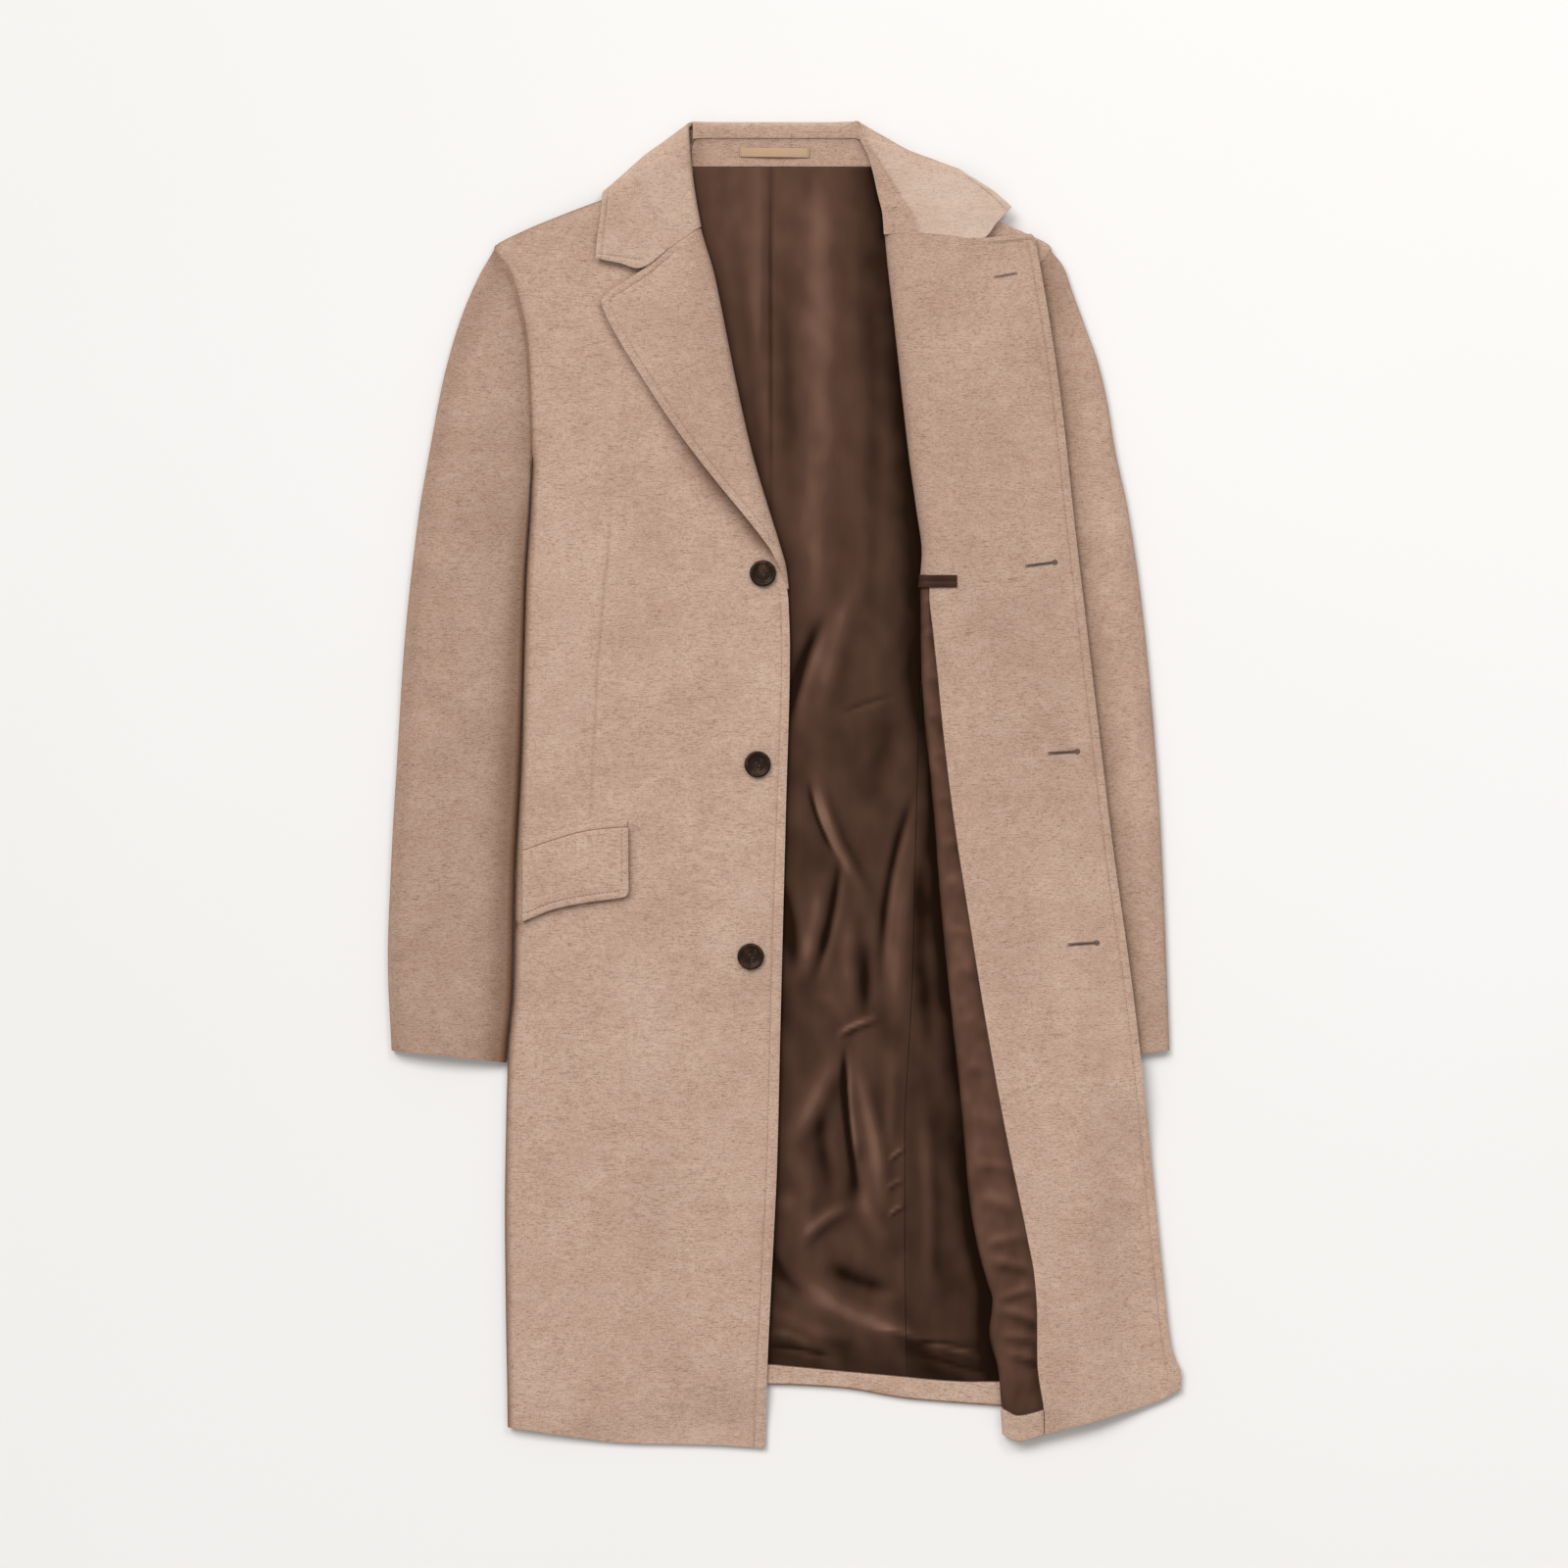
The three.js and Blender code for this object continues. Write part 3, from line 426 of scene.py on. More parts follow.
def turned_level(x, y):
    """Turned-back layer's height: it lies on the sleeve, and below the cuff it sinks to the surface."""
    top = front_level(y) + fold_height(y)
    past_fold = smoothstep(x - fold_centre(y), 0, FOLD_FALL)
    past_side = smoothstep(x - body_side("left", y), 6, 62)
    return lerp(top, TURNED_Z, past_fold) - SINK * past_side * smoothstep(-y, 230, 310)


def past_hem(x, y):
    """How far the cloth sinks to the surface where it hangs below the back's hem."""
    return HEM_SAG * smoothstep(back_hem(x) - y, -6, 24)


def top_slant(x, y):
    return (turned_top(x) - TURNED_TOP_Y) * smoothstep(y, 400, TURNED_TOP_Y)


def left_front_point(u, v):
    """u from 0 to 2 is the lower layer, to 3 the fold, to 4 the turned-back layer."""
    centre = fold_centre(v)
    if u > 3:
        x = lerp(centre, left_edge(v), u - 3)
        y = toward_hem(v, LEFT_FLOOR_Y, turned_hem(x))
        return Vector((x, y + top_slant(x, v), turned_level(x, v) - past_hem(x, y)))
    start = side_turn("left", v, min(u, 1), front_level(v), FOLD_GAP)
    angle = (max(u, 2) - 2.5) * math.pi
    across = lerp(start.x, centre, min(u, 2) - 1) if u > 1 else start.x
    x = across - FOLD_REACH * math.cos(angle)
    rise = fold_height(v) * (1 + math.sin(angle)) / 2
    top = top_slant(x, v) * (u - 2) if u > 2 else 0
    y = toward_hem(v, LEFT_FLOOR_Y, turned_hem(x))
    return Vector((x, y + top, start.z + rise - past_hem(x, y)))


def turned_at(x, y):
    """Place across the turned-back layer at which it passes x."""
    return 3 + (x - fold_centre(y)) / (left_edge(y) - fold_centre(y))


WRAP = 2.36
FACING_JOIN = 3.3
LINING_LIFT = CLOTH / 2 + SEAM_GAP + LINING_CLOTH / 2


def facing_start(y):
    return max(turned_at(facing_edge(y), y), 3.0001)


def facing_place(u, v):
    if 3 < u < FACING_JOIN:
        return lerp(facing_start(v), FACING_JOIN, (u - 3) / (FACING_JOIN - 3))
    return u


def strip_place(u, v):
    end = max(facing_start(v) - 0.004, 2.99)
    return u if u < 2.75 else lerp(2.75, end, (u - 2.75) / 1.25)


# Backs
def back_point(side):
    seam_x = BODY_CENTRE + outward[side] * SEAM_GAP / 2

    def point(u, v):
        start = side_turn(side, v, min(u, 1), back_level(v), -FOLD_GAP)
        x = lerp(start.x, seam_x, u - 1) if u > 1 else start.x
        return Vector((x, toward_hem(v, -516, back_hem(x)), start.z))

    return point


# Sleeves: rings from the cuff's slant until the last one lies along the armhole
def sleeve_point(side, layer, crown):
    outer_x = curve(SLEEVES[side], "outer")
    away = outward[side]

    def ring(share, v):
        outer_y = lerp(CUFF_OUTER_Y, SHOULDER_Y, v)
        inner_y = lerp(CUFF_INNER_Y, ARMPIT_Y, v)
        outer = Vector((outer_x(outer_y), outer_y))
        inner = Vector((body_side(side, inner_y) + away * SLEEVE_TO_BODY, inner_y))
        span = (outer - inner).length
        inset = (CLOTH / 2 + SEAM_GAP) / span
        return outer.lerp(inner, lerp(inset, 1 - inset, share)), span * (1 - 2 * inset)

    def point(u, v):
        turn = quarter(min(u, 1, 3 - u))
        reach = SLEEVE_REACH / ring(0.5, v)[1]
        rolled = reach * (1 - math.cos(turn))
        share = rolled if u < 1 else 1 - rolled if u > 2 else lerp(reach, 1 - reach, u - 1)
        fullness = math.sin(turn) if u < 1 or u > 2 else 1
        place = ring(share, v)[0]
        last = ring(share, 1)[0]
        skin = CLOTH / 2 * smoothstep(share, 0.9, 1)
        lap = (1 + ARMHOLE_LAP) * smoothstep(last.y, 264, 290)
        lap += 1.4 * smoothstep(last.y, 402, 430) * min(u, 1)
        armhole_x = body_side(side, last.y) + away * (2.5 * SEAM_GAP + skin - lap)
        x = place.x + (armhole_x - last.x) * smoothstep(v, 0.72, 1)
        flat = BACK_Z
        if layer == "upper":
            flat = FRONT_Z + crown(x, place.y, share) * (1 - smoothstep(v, 0.85, 1))
        seam = (BACK_Z + FRONT_Z) / 2 + (FOLD_GAP if layer == "upper" else -FOLD_GAP)
        return Vector((x, place.y, lerp(seam, flat, fullness)))

    return point


# Collar: each station runs from the fold at the neck to the outer edge
COLLAR = table(
    "foldX foldY midX midY edgeX edgeY stand fall rim turn",
    (-66.8, 450.6, -114.4, 416.9, -151.5, 424.5, 7.9, 14.2, 12.4, 1),
    (-70.5, 471, -113, 444, -150.5, 437, 7.9, 14, 12, 1),
    (-74.7, 501, -113, 472, -148, 456, 7.9, 13.6, 11.6, 1),
    (-76.2, 520, -112, 492, -146.4, 469, 7.9, 12.8, 11.6, 1),
    (-77, 531, -110, 508, -144.8, 477.4, 7.8, 7.6, 6.6, 0),
    (-75, 533.6, -110, 507.4, -144, 475.6, 7.8, 3, 2.3, 0.2),
    (-71, 534.8, -107, 503, -138, 468, 7.8, 1.5, 1.5, 0.6),
    (-60, 534.8, -66, 495, -80, 460, 7.8, 1.5, 1.5, 1),
    (-9.5, 534.8, -9.5, 495, -9.5, 456, 7.8, 1.5, 1.5, 1),
    (38, 534.8, 44, 495, 60, 460, 7.8, 1.5, 1.5, 1),
    (53, 534.8, 88, 503, 119, 469, 7.8, 1.5, 1.5, 0.6),
    (59, 534, 98, 511.5, 135.5, 496.7, 9.4, 4.6, 5.5, -0.4),
    (68, 517, 107, 502, 149, 490.2, 11.4, 11.2, 11, -1),
    (79, 499, 119, 489, 159, 484.4, 11.6, 11.4, 11, -1),
    (92, 477, 130, 474, 168.5, 478.5, 11.6, 11.4, 11, -1),
    (102.5, 459.5, 141, 460, 177.8, 470.5, 12.2, 12.2, 12, -1),
    (107.5, 445, 159.5, 440, 183.2, 465.8, 12.8, 12.8, 12.5, -1))
STAND = table(
    "station x y gap",
    (6, -73.5, 521, -1.6), (7, -62, 521.6, -1.6), (8, -9.5, 521.6, -1.6), (9, 40, 521.6, -1.6),
    (10, 56, 521.6, -1.6), (11, 61, 520.5, -1.6), (12, 66.5, 510, -1.6), (13, 71, 496, -1.6),
    (14, 75.5, 476, -1.6), (15, 79.4, 459, -1.6), (16, 80.5, 443.5, -1.6))
numbered = [dict(row, station=station) for station, row in enumerate(COLLAR)]
collar_curves = {key: curve(numbered, key, "station") for key in COLLAR[0]}
stand_curves = {key: curve(STAND, key, "station") for key in ("x", "y", "gap")}
COLLAR_ROLL = 3
ribs = {}


def collar_rib(station):
    if station not in ribs:
        read = {key: at(station) for key, at in collar_curves.items()}
        fold = Vector((read["foldX"], read["foldY"], (read["stand"] + read["fall"]) / 2))
        middle = Vector((read["midX"], read["midY"], (read["fall"] + read["rim"]) / 2))
        edge = Vector((read["edgeX"], read["edgeY"], read["rim"]))
        out = Vector((middle.x - fold.x, middle.y - fold.y, 0)).normalized()
        half = COLLAR_CLOTH / 2
        start = fold + out * (half + COLLAR_ROLL * read["turn"])
        start.z = read["stand"]
        apex = fold + out * half
        end = fold + out * (half + COLLAR_ROLL)
        end.z = read["fall"]
        early = start.lerp(apex, 0.6)
        early.z = lerp(read["stand"], apex.z, 0.15)
        late = end.lerp(apex, 0.6)
        late.z = lerp(read["fall"], apex.z, 0.3)
        ribs[station] = [start, early, apex, late, end, end.lerp(middle, 0.5), middle,
                         middle.lerp(edge, 0.5), edge]
    return ribs[station]


def collar_point(u, v):
    points = collar_rib(v)
    i = min(int(u), len(points) - 2)
    t = u - i
    before = points[max(i - 1, 0)]
    start, end = points[i], points[i + 1]
    after = points[min(i + 2, len(points) - 1)]
    if i < 4:
        return start.lerp(end, t)
    pull_in = (end - before) / 2 if i > 4 else end - start
    pull_out = (after - start) / 2
    ease = t * t * (3 - 2 * t)
    return start.lerp(end, ease) + pull_in * (t * (1 - t) ** 2) - pull_out * (t * t * (1 - t))


SEAM_DIP = 1.1


def stand_point(u, v):
    top = collar_rib(v)[0]
    top = Vector((top.x, top.y, top.z - 0.06))
    neck = Vector((stand_curves["x"](v), stand_curves["y"](v), top.z))
    place = top.lerp(neck, lerp(stand_curves["gap"](v) / (top - neck).length, 1, u))
    place.z -= SEAM_DIP * math.exp(-(((place - top).length / 3) ** 2)) * smoothstep(v, 11, 12.5)
    return place


# Inside of the back: neck facing, linings and hem
NECK_FACING_LOW_Y = 498.5
NECK_SEAM_Y = 523.5
LINING_FLOOR_Y = -474
LINING_TOP_Y = NECK_FACING_LOW_Y - SEAM_GAP
SIDE_SEAM = table(
    "y x",
    (-500, 99.8), (-363, 97.6), (-281, 97.6), (-192, 102), (-148, 104), (-15, 107), (150, 112), (498.5, 112))
lining_seam = curve(SIDE_SEAM, "x")


def inside_level(y, thickness):
    return back_level(y) + CLOTH / 2 + SEAM_GAP + thickness / 2


def inside(left, right, thickness, lift=0):
    def point(u, v):
        return Vector((lerp(left(v), right(v), u), v, inside_level(v, thickness) + lift))

    return point


def lining_left(y):
    return max(right_edge(y) - 22, lerp(-67, -73, smoothstep(y, 452, 485)))


def lining_right(y):
    beside_fold = left_fold(y) + lerp(16, 5, smoothstep(y, 390, 440)) - 7 * smoothstep(y, 465, 498)
    return min(lining_seam(y) - SEAM_GAP / 2, beside_fold)


def to_lining_hem(point):
    def lowered(u, v):
        place = point(u, v)
        place.y = toward_hem(v, LINING_FLOOR_Y, lining_hem(place.x))
        return place

    return lowered


# Right pocket: a narrow jet along the opening and the flap hanging from it
POCKET = table(
    "x jetTop jetLow flapLow",
    (-212, -45.5, -53.4, -110.5), (-184, -37.1, -43.6, -99.5), (-156, -31, -36.4, -94),
    (-129, -28.6, -34, -90.1), (-125, -28.6, -34, -88))
pocket = {key: curve(POCKET, key, "x") for key in ("jetTop", "jetLow", "flapLow")}
FLAP_RIGHT_X = -125.5
FLAP_CORNER = 3


def pocket_piece(high, low, right, thickness, lift=0):
    left = body_side("right", -80) + SIDE_REACH + 1

    def point(u, v):
        x = lerp(left, right, u)
        z = FRONT_Z + CLOTH / 2 + SEAM_GAP + thickness / 2 + lift
        return Vector((x, lerp(low(x), high(x), v), z))

    return point


class Value:
    """Socket of a material whose arithmetic adds Math nodes."""

    def __init__(self, finish, socket):
        self.finish = finish
        self.socket = socket

    def math(self, operation, first, second):
        return self.finish.node("ShaderNodeMath", {0: first, 1: second}, operation=operation)

    def __add__(self, other):
        return self.math("ADD", self, other)

    def __sub__(self, other):
        return self.math("SUBTRACT", self, other)

    def __rsub__(self, other):
        return self.math("SUBTRACT", other, self)

    def __mul__(self, other):
        return self.math("MULTIPLY", self, other)

    def __pow__(self, other):
        return self.math("POWER", self, other)

    __radd__ = __add__
    __rmul__ = __mul__

    def above(self, low, high):
        """Smooth mask that is 0 below low and 1 above high."""
        return self.finish.node(
            "ShaderNodeMapRange", {"Value": self, "From Min": low, "From Max": high},
            interpolation_type="SMOOTHSTEP")


class Finish:
    """Material in the making: its nodes and its one shader."""

    def __init__(self, name, **constants):
        self.material = bpy.data.materials.new(name)
        self.material.use_nodes = True
        self.tree = self.material.node_tree
        self.shader = self.tree.nodes["Principled BSDF"]
        for key, value in constants.items():
            self.shader.inputs[key.replace("_", " ")].default_value = value
        self.place = self.node("ShaderNodeTexCoord", output="Object")

    def node(self, kind, inputs=(), output=0, **settings):
        node = self.tree.nodes.new(kind)
        for key, value in settings.items():
            setattr(node, key, value)
        for key, value in dict(inputs).items():
            if isinstance(value, Value):
                self.tree.links.new(value.socket, node.inputs[key])
            else:
                node.inputs[key].default_value = value
        return Value(self, node.outputs[output])

    def grain(self, size, stretch=(1, 1, 1), detail=2, roughness=0.5, shift=0):
        """Noise whose patches are about size mm wide, drawn out by stretch."""
        place = self.node("ShaderNodeMapping", {
            "Vector": self.place, "Location": (shift, shift, shift),
            "Scale": [1 / (size * MM * part) for part in stretch]})
        return self.node("ShaderNodeTexNoise", {
            "Vector": place, "Scale": 1.0, "Detail": detail, "Roughness": roughness})

    def mix(self, factor, first, second):
        return self.node(
            "ShaderNodeMix", {0: factor, 6: first, 7: second}, output=2, data_type="RGBA")

    def ridges(self, size, direction, distortion=0.0):
        """Even threads size mm apart, as waves across a direction."""
        place = self.node("ShaderNodeMapping", {
            "Vector": self.place, "Scale": (1 / MM, 1 / MM, 1 / MM)})
        return self.node("ShaderNodeTexWave", {
            "Vector": place, "Scale": 0.314 / size, "Distortion": distortion},
            output=1, bands_direction=direction)

    def shaded(self, base, dark, light):
        """Painted shade and painted highlight: colour drawn toward dark or light by the mesh's own shade
        attribute.
        """
        shade = self.node("ShaderNodeAttribute", output="Fac", attribute_name="shade")
        return self.mix(shade * -1, self.mix(shade, base, dark), light)

    def feed(self, key, value):
        self.tree.links.new(value.socket, self.shader.inputs[key])

    def bump(self, height, distance):
        normal = self.node("ShaderNodeBump", {"Height": height, "Distance": distance * MM, "Strength": 1.0})
        self.feed("Normal", normal)


def colour(red, green, blue):
    """Screen colour from 0 to 255 as the linear colour that a shader takes."""
    parts = [part / 255 for part in (red, green, blue)]
    return tuple(part / 12.92 if part <= 0.04045 else ((part + 0.055) / 1.055) ** 2.4 for part in parts) + (1,)


def wool_finish(name, shade=1.0):
    """Milled overcoat wool: fibres of several browns under a short soft nap."""
    wool = Finish(name, Roughness=0.94, Sheen_Weight=0.12, Sheen_Roughness=0.6,
                  Sheen_Tint=colour(206, 172, 146), Specular_IOR_Level=0.1,
                  Specular_Tint=colour(206, 172, 146))
    weft = wool.grain(1.0, (3.6, 0.8, 1), 3, 0.7)
    warp = wool.grain(1.0, (0.8, 2.6, 1), 3, 0.65, 7)
    streak = wool.grain(1.3, (8, 0.8, 1), 3, 0.6, 13)
    fibre = wool.grain(0.5, (1.5, 1, 1), 2, 0.7, 3)
    mottle = wool.grain(8, (1.5, 1, 1), 4, 0.6, 11)
    patch = wool.grain(48, (1.3, 1, 1), 3, 0.6, 5)
    base = wool.mix(patch.above(0.35, 0.68), colour(190 * shade, 159 * shade, 141 * shade),
                    colour(199 * shade, 170 * shade, 151 * shade))
    pink = wool.grain(20, (1.4, 1, 1), 2, 0.5, 17)
    base = wool.mix(pink.above(0.5, 0.75) * 0.18, base, colour(186 * shade, 150 * shade, 135 * shade))
    dark = weft.above(0.44, 0.7) * 0.7 + warp.above(0.48, 0.72) * 0.42 + streak.above(0.5, 0.72) * 0.42
    base = wool.mix(dark, base, colour(140 * shade, 109 * shade, 89 * shade))
    light = fibre.above(0.48, 0.72) * 0.6 + mottle.above(0.45, 0.75) * 0.2
    base = wool.mix(light, base, colour(222 * shade, 197 * shade, 178 * shade))
    fleck = wool.grain(1.1, (1.8, 1, 1), 1, 0.5, 29)
    base = wool.mix(fleck.above(0.68, 0.78) * 0.35, base, colour(106 * shade, 78 * shade, 60 * shade))
    # Painted shade toward a deep brown and painted highlight toward a pale tan, from the mesh's shade attribute.
    wool.feed("Base Color", wool.shaded(base, colour(92, 56, 32), colour(234, 215, 199)))
    wool.bump(weft * 0.6 + warp * 0.4 + fibre * 0.6 + mottle * 0.7 + streak * 0.4, 0.5)
    return wool.material


def satin_finish(name, ground, light, dark, roughness):
    """Closely woven satin: fine twill lines and a soft gloss."""
    satin = Finish(name, Specular_IOR_Level=0.22, Anisotropic=0.3, Specular_Tint=colour(196, 142, 112))
    streak = satin.grain(1.4, (0.5, 14, 1), 3, 0.6)
    broad = satin.grain(30, (0.7, 2.2, 1), 2, 0.5, 9)
    base = satin.mix(streak.above(0.4, 0.72) * 0.16, ground, light)
    base = satin.mix(broad.above(0.45, 0.75) * 0.35, base, dark)
    # Painted shade toward near black and painted highlight toward a pale brown, from the mesh's shade attribute.
    satin.feed("Base Color", satin.shaded(base, colour(24, 14, 8), colour(136, 104, 88)))
    satin.feed("Roughness", roughness + streak * 0.12)
    satin.bump(satin.ridges(0.55, "DIAGONAL", 0.4) * 0.5 + streak * 0.5, 0.05)
    return satin.material


def thread_finish(name, ground, shadow):
    thread = Finish(name, Roughness=0.7, Sheen_Weight=0.15)
    twist = thread.ridges(0.3, "DIAGONAL")
    thread.feed("Base Color", thread.mix(twist.above(0.2, 0.8), shadow, ground))
    thread.bump(twist, 0.06)
    return thread.material


def horn_finish():
    """Polished dark horn with paler clouds."""
    horn = Finish("horn", Coat_Weight=0.08, Coat_Roughness=0.12, Specular_IOR_Level=0.25,
                  Specular_Tint=colour(230, 190, 160))
    cloud = horn.grain(6, (1, 2.4, 1), 4, 0.6, 2)
    vein = horn.grain(1.2, (1, 6, 1), 2, 0.6, 4)
    base = horn.mix(cloud.above(0.48, 0.7), colour(30, 20, 14), colour(72, 52, 39))
    horn.feed("Base Color", horn.mix(vein.above(0.6, 0.8) * 0.4, base, colour(22, 16, 12)))
    horn.feed("Roughness", 0.3 + cloud * 0.18)
    horn.bump(vein * 0.4 + cloud, 0.05)
    return horn.material


def floor_finish():
    floor = Finish("floor", Roughness=0.9, Specular_IOR_Level=0.1)
    tone = floor.grain(400, (1, 1, 1), 1, 0.5)
    floor.feed("Base Color", floor.mix(tone, colour(235, 233, 231), colour(237, 235, 234)))
    return floor.material


wool = wool_finish("wool")
# The collar's wool is drawn 1.5% darker; the wool for the layers underneath is drawn 7% darker, painted shade.
collar_wool = wool_finish("collar_wool", 0.985)
shaded_under_wool = wool_finish("shaded_under_wool", 0.93)
lining = satin_finish("lining", colour(84, 60, 49), colour(98, 72, 60), colour(68, 47, 38), 0.42)
strip_lining = satin_finish("strip_lining", colour(92, 65, 53), colour(108, 80, 67), colour(72, 50, 40), 0.42)
jet_satin = satin_finish("jet_satin", colour(60, 41, 35), colour(76, 54, 47), colour(42, 28, 23), 0.38)
tape = satin_finish("tape", colour(182, 152, 125), colour(202, 174, 148), colour(160, 130, 104), 0.4)
wool_thread = thread_finish("wool_thread", colour(166, 136, 117), colour(122, 94, 78))
hole_thread = thread_finish("hole_thread", colour(112, 82, 66), colour(74, 51, 40))
button_thread = thread_finish("button_thread", colour(58, 44, 36), colour(34, 25, 20))
horn = horn_finish()


# Creases of the wool and of the linings
FRONT_FOLDS = folds(table(
    "fromX fromY toX toY bend height width",
    (-196, 300, -150, 170, 10, -0.8, 14),
    (-186, 120, -178, -20, 6, 0.7, 16),
    (-120, 230, -60, 60, -12, 0.6, 22),
    (-60, -170, -20, -420, 8, 0.6, 20),
    (-150, -160, -165, -420, -8, -0.7, 20),
    (-90, -130, -105, -330, 6, -0.5, 18),
    (-40, 160, -30, 20, 5, -0.5, 14)))
SLEEVE_FOLDS = folds(table(
    "fromX fromY toX toY bend height width",
    (-232, 400, -262, 300, 8, 0.8, 12),
    (-216, 330, -240, 190, -6, -0.9, 10),
    (-292, 170, -238, 118, 6, -0.9, 11),
    (-302, 60, -244, 30, -5, 0.8, 13),
    (-306, -20, -256, -50, 5, -0.8, 12),
    (-300, -120, -246, -96, 5, 0.6, 14),
    (-244, 60, -240, -120, 4, -0.7, 10),
    (222, 392, 250, 300, -6, 0.9, 8),
    (238, 330, 258, 262, 4, -0.9, 6),
    (246, 262, 274, 196, -4, -0.9, 7),
    (250, 210, 286, 150, 4, 0.8, 8),
    (262, 120, 296, 60, 4, -0.8, 8),
    (270, 20, 300, -50, -4, 0.7, 9),
    (280, -80, 306, -150, 4, -0.8, 8)))
TURNED_FOLDS = folds(table(
    "fromX fromY toX toY bend height width",
    (120, 400, 150, 250, 8, 0.5, 18),
    (150, 298, 196, 296, 1, -0.35, 2.2),
    (118, 205, 152, 206, 1, -0.4, 2.2),
    (180, 120, 210, -40, 6, 0.5, 18),
    (190, -120, 235, -300, -8, -0.6, 18),
    (230, -240, 270, -440, 8, 0.6, 20)))
LINING_FOLDS = folds(table(
    "fromX fromY toX toY bend height width",
    (-10, 560, -9, 190, 0, -0.5, 1.8),
    (-17, 540, -22, 300, 2, 0.6, 6),
    (-4, 420, 15, 215, 3, -0.9, 9),
    (34, 540, 42, 190, -3, 1.5, 12),
    (24, 290, 30, 90, 4, 1.4, 11),
    (-42, 470, -12, 190, 5, -0.9, 7),
    (66, 470, 74, 90, 6, -1.2, 9),
    (38, 146, 3, 34, -4, -2.4, 6),
    (66, 180, 28, 30, -4, 1.4, 9),
    (44, 57, 94, 73, 1, -0.5, 2.4),
    (88, 76, 72, -30, 4, -1.3, 12),
    (25, 12, 76, -100, -6, 3.4, 5.5),
    (20, 6, 50, -68, -4, -2, 2.4),
    (48, -48, 24, -166, 4, -1.5, 4.2),
    (110, 6, 80, -176, -9, -1.6, 4.4),
    (106, -40, 92, -214, -3, 1.5, 8),
    (34, -64, 12, -170, 4, 1.5, 7),
    (-2, -72, 14, -160, 4, -2.4, 7),
    (56, -96, 60, -190, -3, 1.4, 7),
    (68, -120, 66, -200, 2, -1.3, 6),
    (42, -203, 80, -188, 2, 1.5, 3),
    (50, -204, 62, -330, -3, -3, 3.2),
    (56, -212, 84, -352, 5, 2.8, 7),
    (46, -212, 2, -300, 4, 2, 9),
    (32, -250, 44, -340, -3, -1.4, 7),
    (12, -290, 24, -356, 3, 1.3, 9),
    (60, -286, 62, -346, 0, -2, 7),
    (62, -326, 96, -380, -3, 1.8, 7),
    (12, -372, 60, -338, 4, 1.8, 6),
    (-16, -366, 40, -424, -7, -2.4, 6),
    (4, -392, 118, -450, -9, 3.6, 8),
    (34, -386, 96, -412, -3, -2.6, 7),
    (-14, -420, 60, -450, -5, 1.6, 6),
    (-6, -330, 30, -368, 4, 1.6, 8),
    (88, -210, 86, -300, 2, 1, 6),
    (24, -166, 60, -200, 4, 1.2, 6),
    (70, -436, 122, -452, 2, 1.5, 3),
    (106, -449, 156, -456, 1, -1.7, 2.2),
    (-12, -440, 34, -460, 3, 1.5, 3.5),
    (-14, -452, 50, -465, 2, -1.2, 2.6),
    (84, -304, 100, -292, 1, 0.8, 2),
    (82, -326, 99, -318, 1, 0.7, 2.2),
    (84, -348, 100, -338, 1, 0.8, 2)))
SIDE_FOLDS = folds(table(
    "fromX fromY toX toY bend height width",
    (118, 130, 114, -60, 3, 1, 6),
    (114, -40, 124, -240, -4, -1.1, 7),
    (132, -150, 150, -380, 6, 1.4, 9),
    (112, -240, 118, -430, 4, 1.2, 6),
    (150, -330, 168, -460, 4, -1.2, 7),
    (100, -446, 172, -470, 3, 1.2, 3.4),
    (104, -456, 176, -477, -2, -0.9, 3)))

# Uneven puckers of the lining strip, each a place up the strip with a height and a width
PUCKERS = table(
    "y height width lean",
    (146, 0.6, 4, 4), (118, 0.8, 5, 7), (84, 0.5, 4, 3), (52, 0.9, 6, 8), (21, 0.5, 4, 5), (-14, 0.8, 5, 6),
    (-49, 0.5, 5, 2), (-83, 1, 7, 9), (-121, 0.5, 4, 5), (-152, 0.8, 6, 4), (-196, 1.1, 8, 10),
    (-231, 0.5, 5, 4), (-272, 1, 8, 8), (-309, 0.7, 5, 3), (-340, 1.1, 7, 8), (-368, 0.9, 5, -4),
    (-389, 1.2, 5, 6), (-411, 0.9, 4, -5), (-429, 1.3, 5, 7), (-447, 0.9, 4, 3), (-463, 1, 4, 5))
strip_folds = folds([
    {"fromX": left_fold(row["y"]) + 4, "fromY": row["y"] + row["lean"], "toX": facing_edge(row["y"]) + 6,
     "toY": row["y"] - row["lean"], "bend": 2, "height": row["height"], "width": row["width"]}
    for row in PUCKERS])

DART = table(
    "y x",
    (-40, -155.7), (-24, -155.6), (26, -153.5), (47, -152.5), (89, -150.9), (115, -148.5), (153, -145.4),
    (200, -141.4), (225, -140.6), (240, -140.4))
dart = curve(DART, "x")


def wool_swell(x, y, seed):
    return 0.8 * swell(x, y, 105, seed) + 0.28 * swell(x, y, 34, seed + 4)


def right_front_relief(x, y, u, v):
    if u > 2:
        return 0
    height = wool_swell(x, y, 3) + FRONT_FOLDS(x, y)
    inset = lerp(6.3, 8, smoothstep(-y, -100, 150))
    height += stitched(edge_distance(right_edge, x, y), inset) * (1 - smoothstep(v, 145, 160))
    fade = smoothstep(y, -32, -20) * (1 - smoothstep(y, 150, 235))
    height -= 0.75 * fade * math.exp(-((abs(x - dart(y)) / 1.2) ** 2))
    armhole = abs(x - body_side("right", y)) if y > ARMPIT_Y - 12 else 99
    seam = 0.4 * math.exp(-((armhole / 9) ** 2)) + 0.35 * math.exp(-((armhole / 2) ** 2))
    return height - seam * (1 - smoothstep(y, 425, 440))


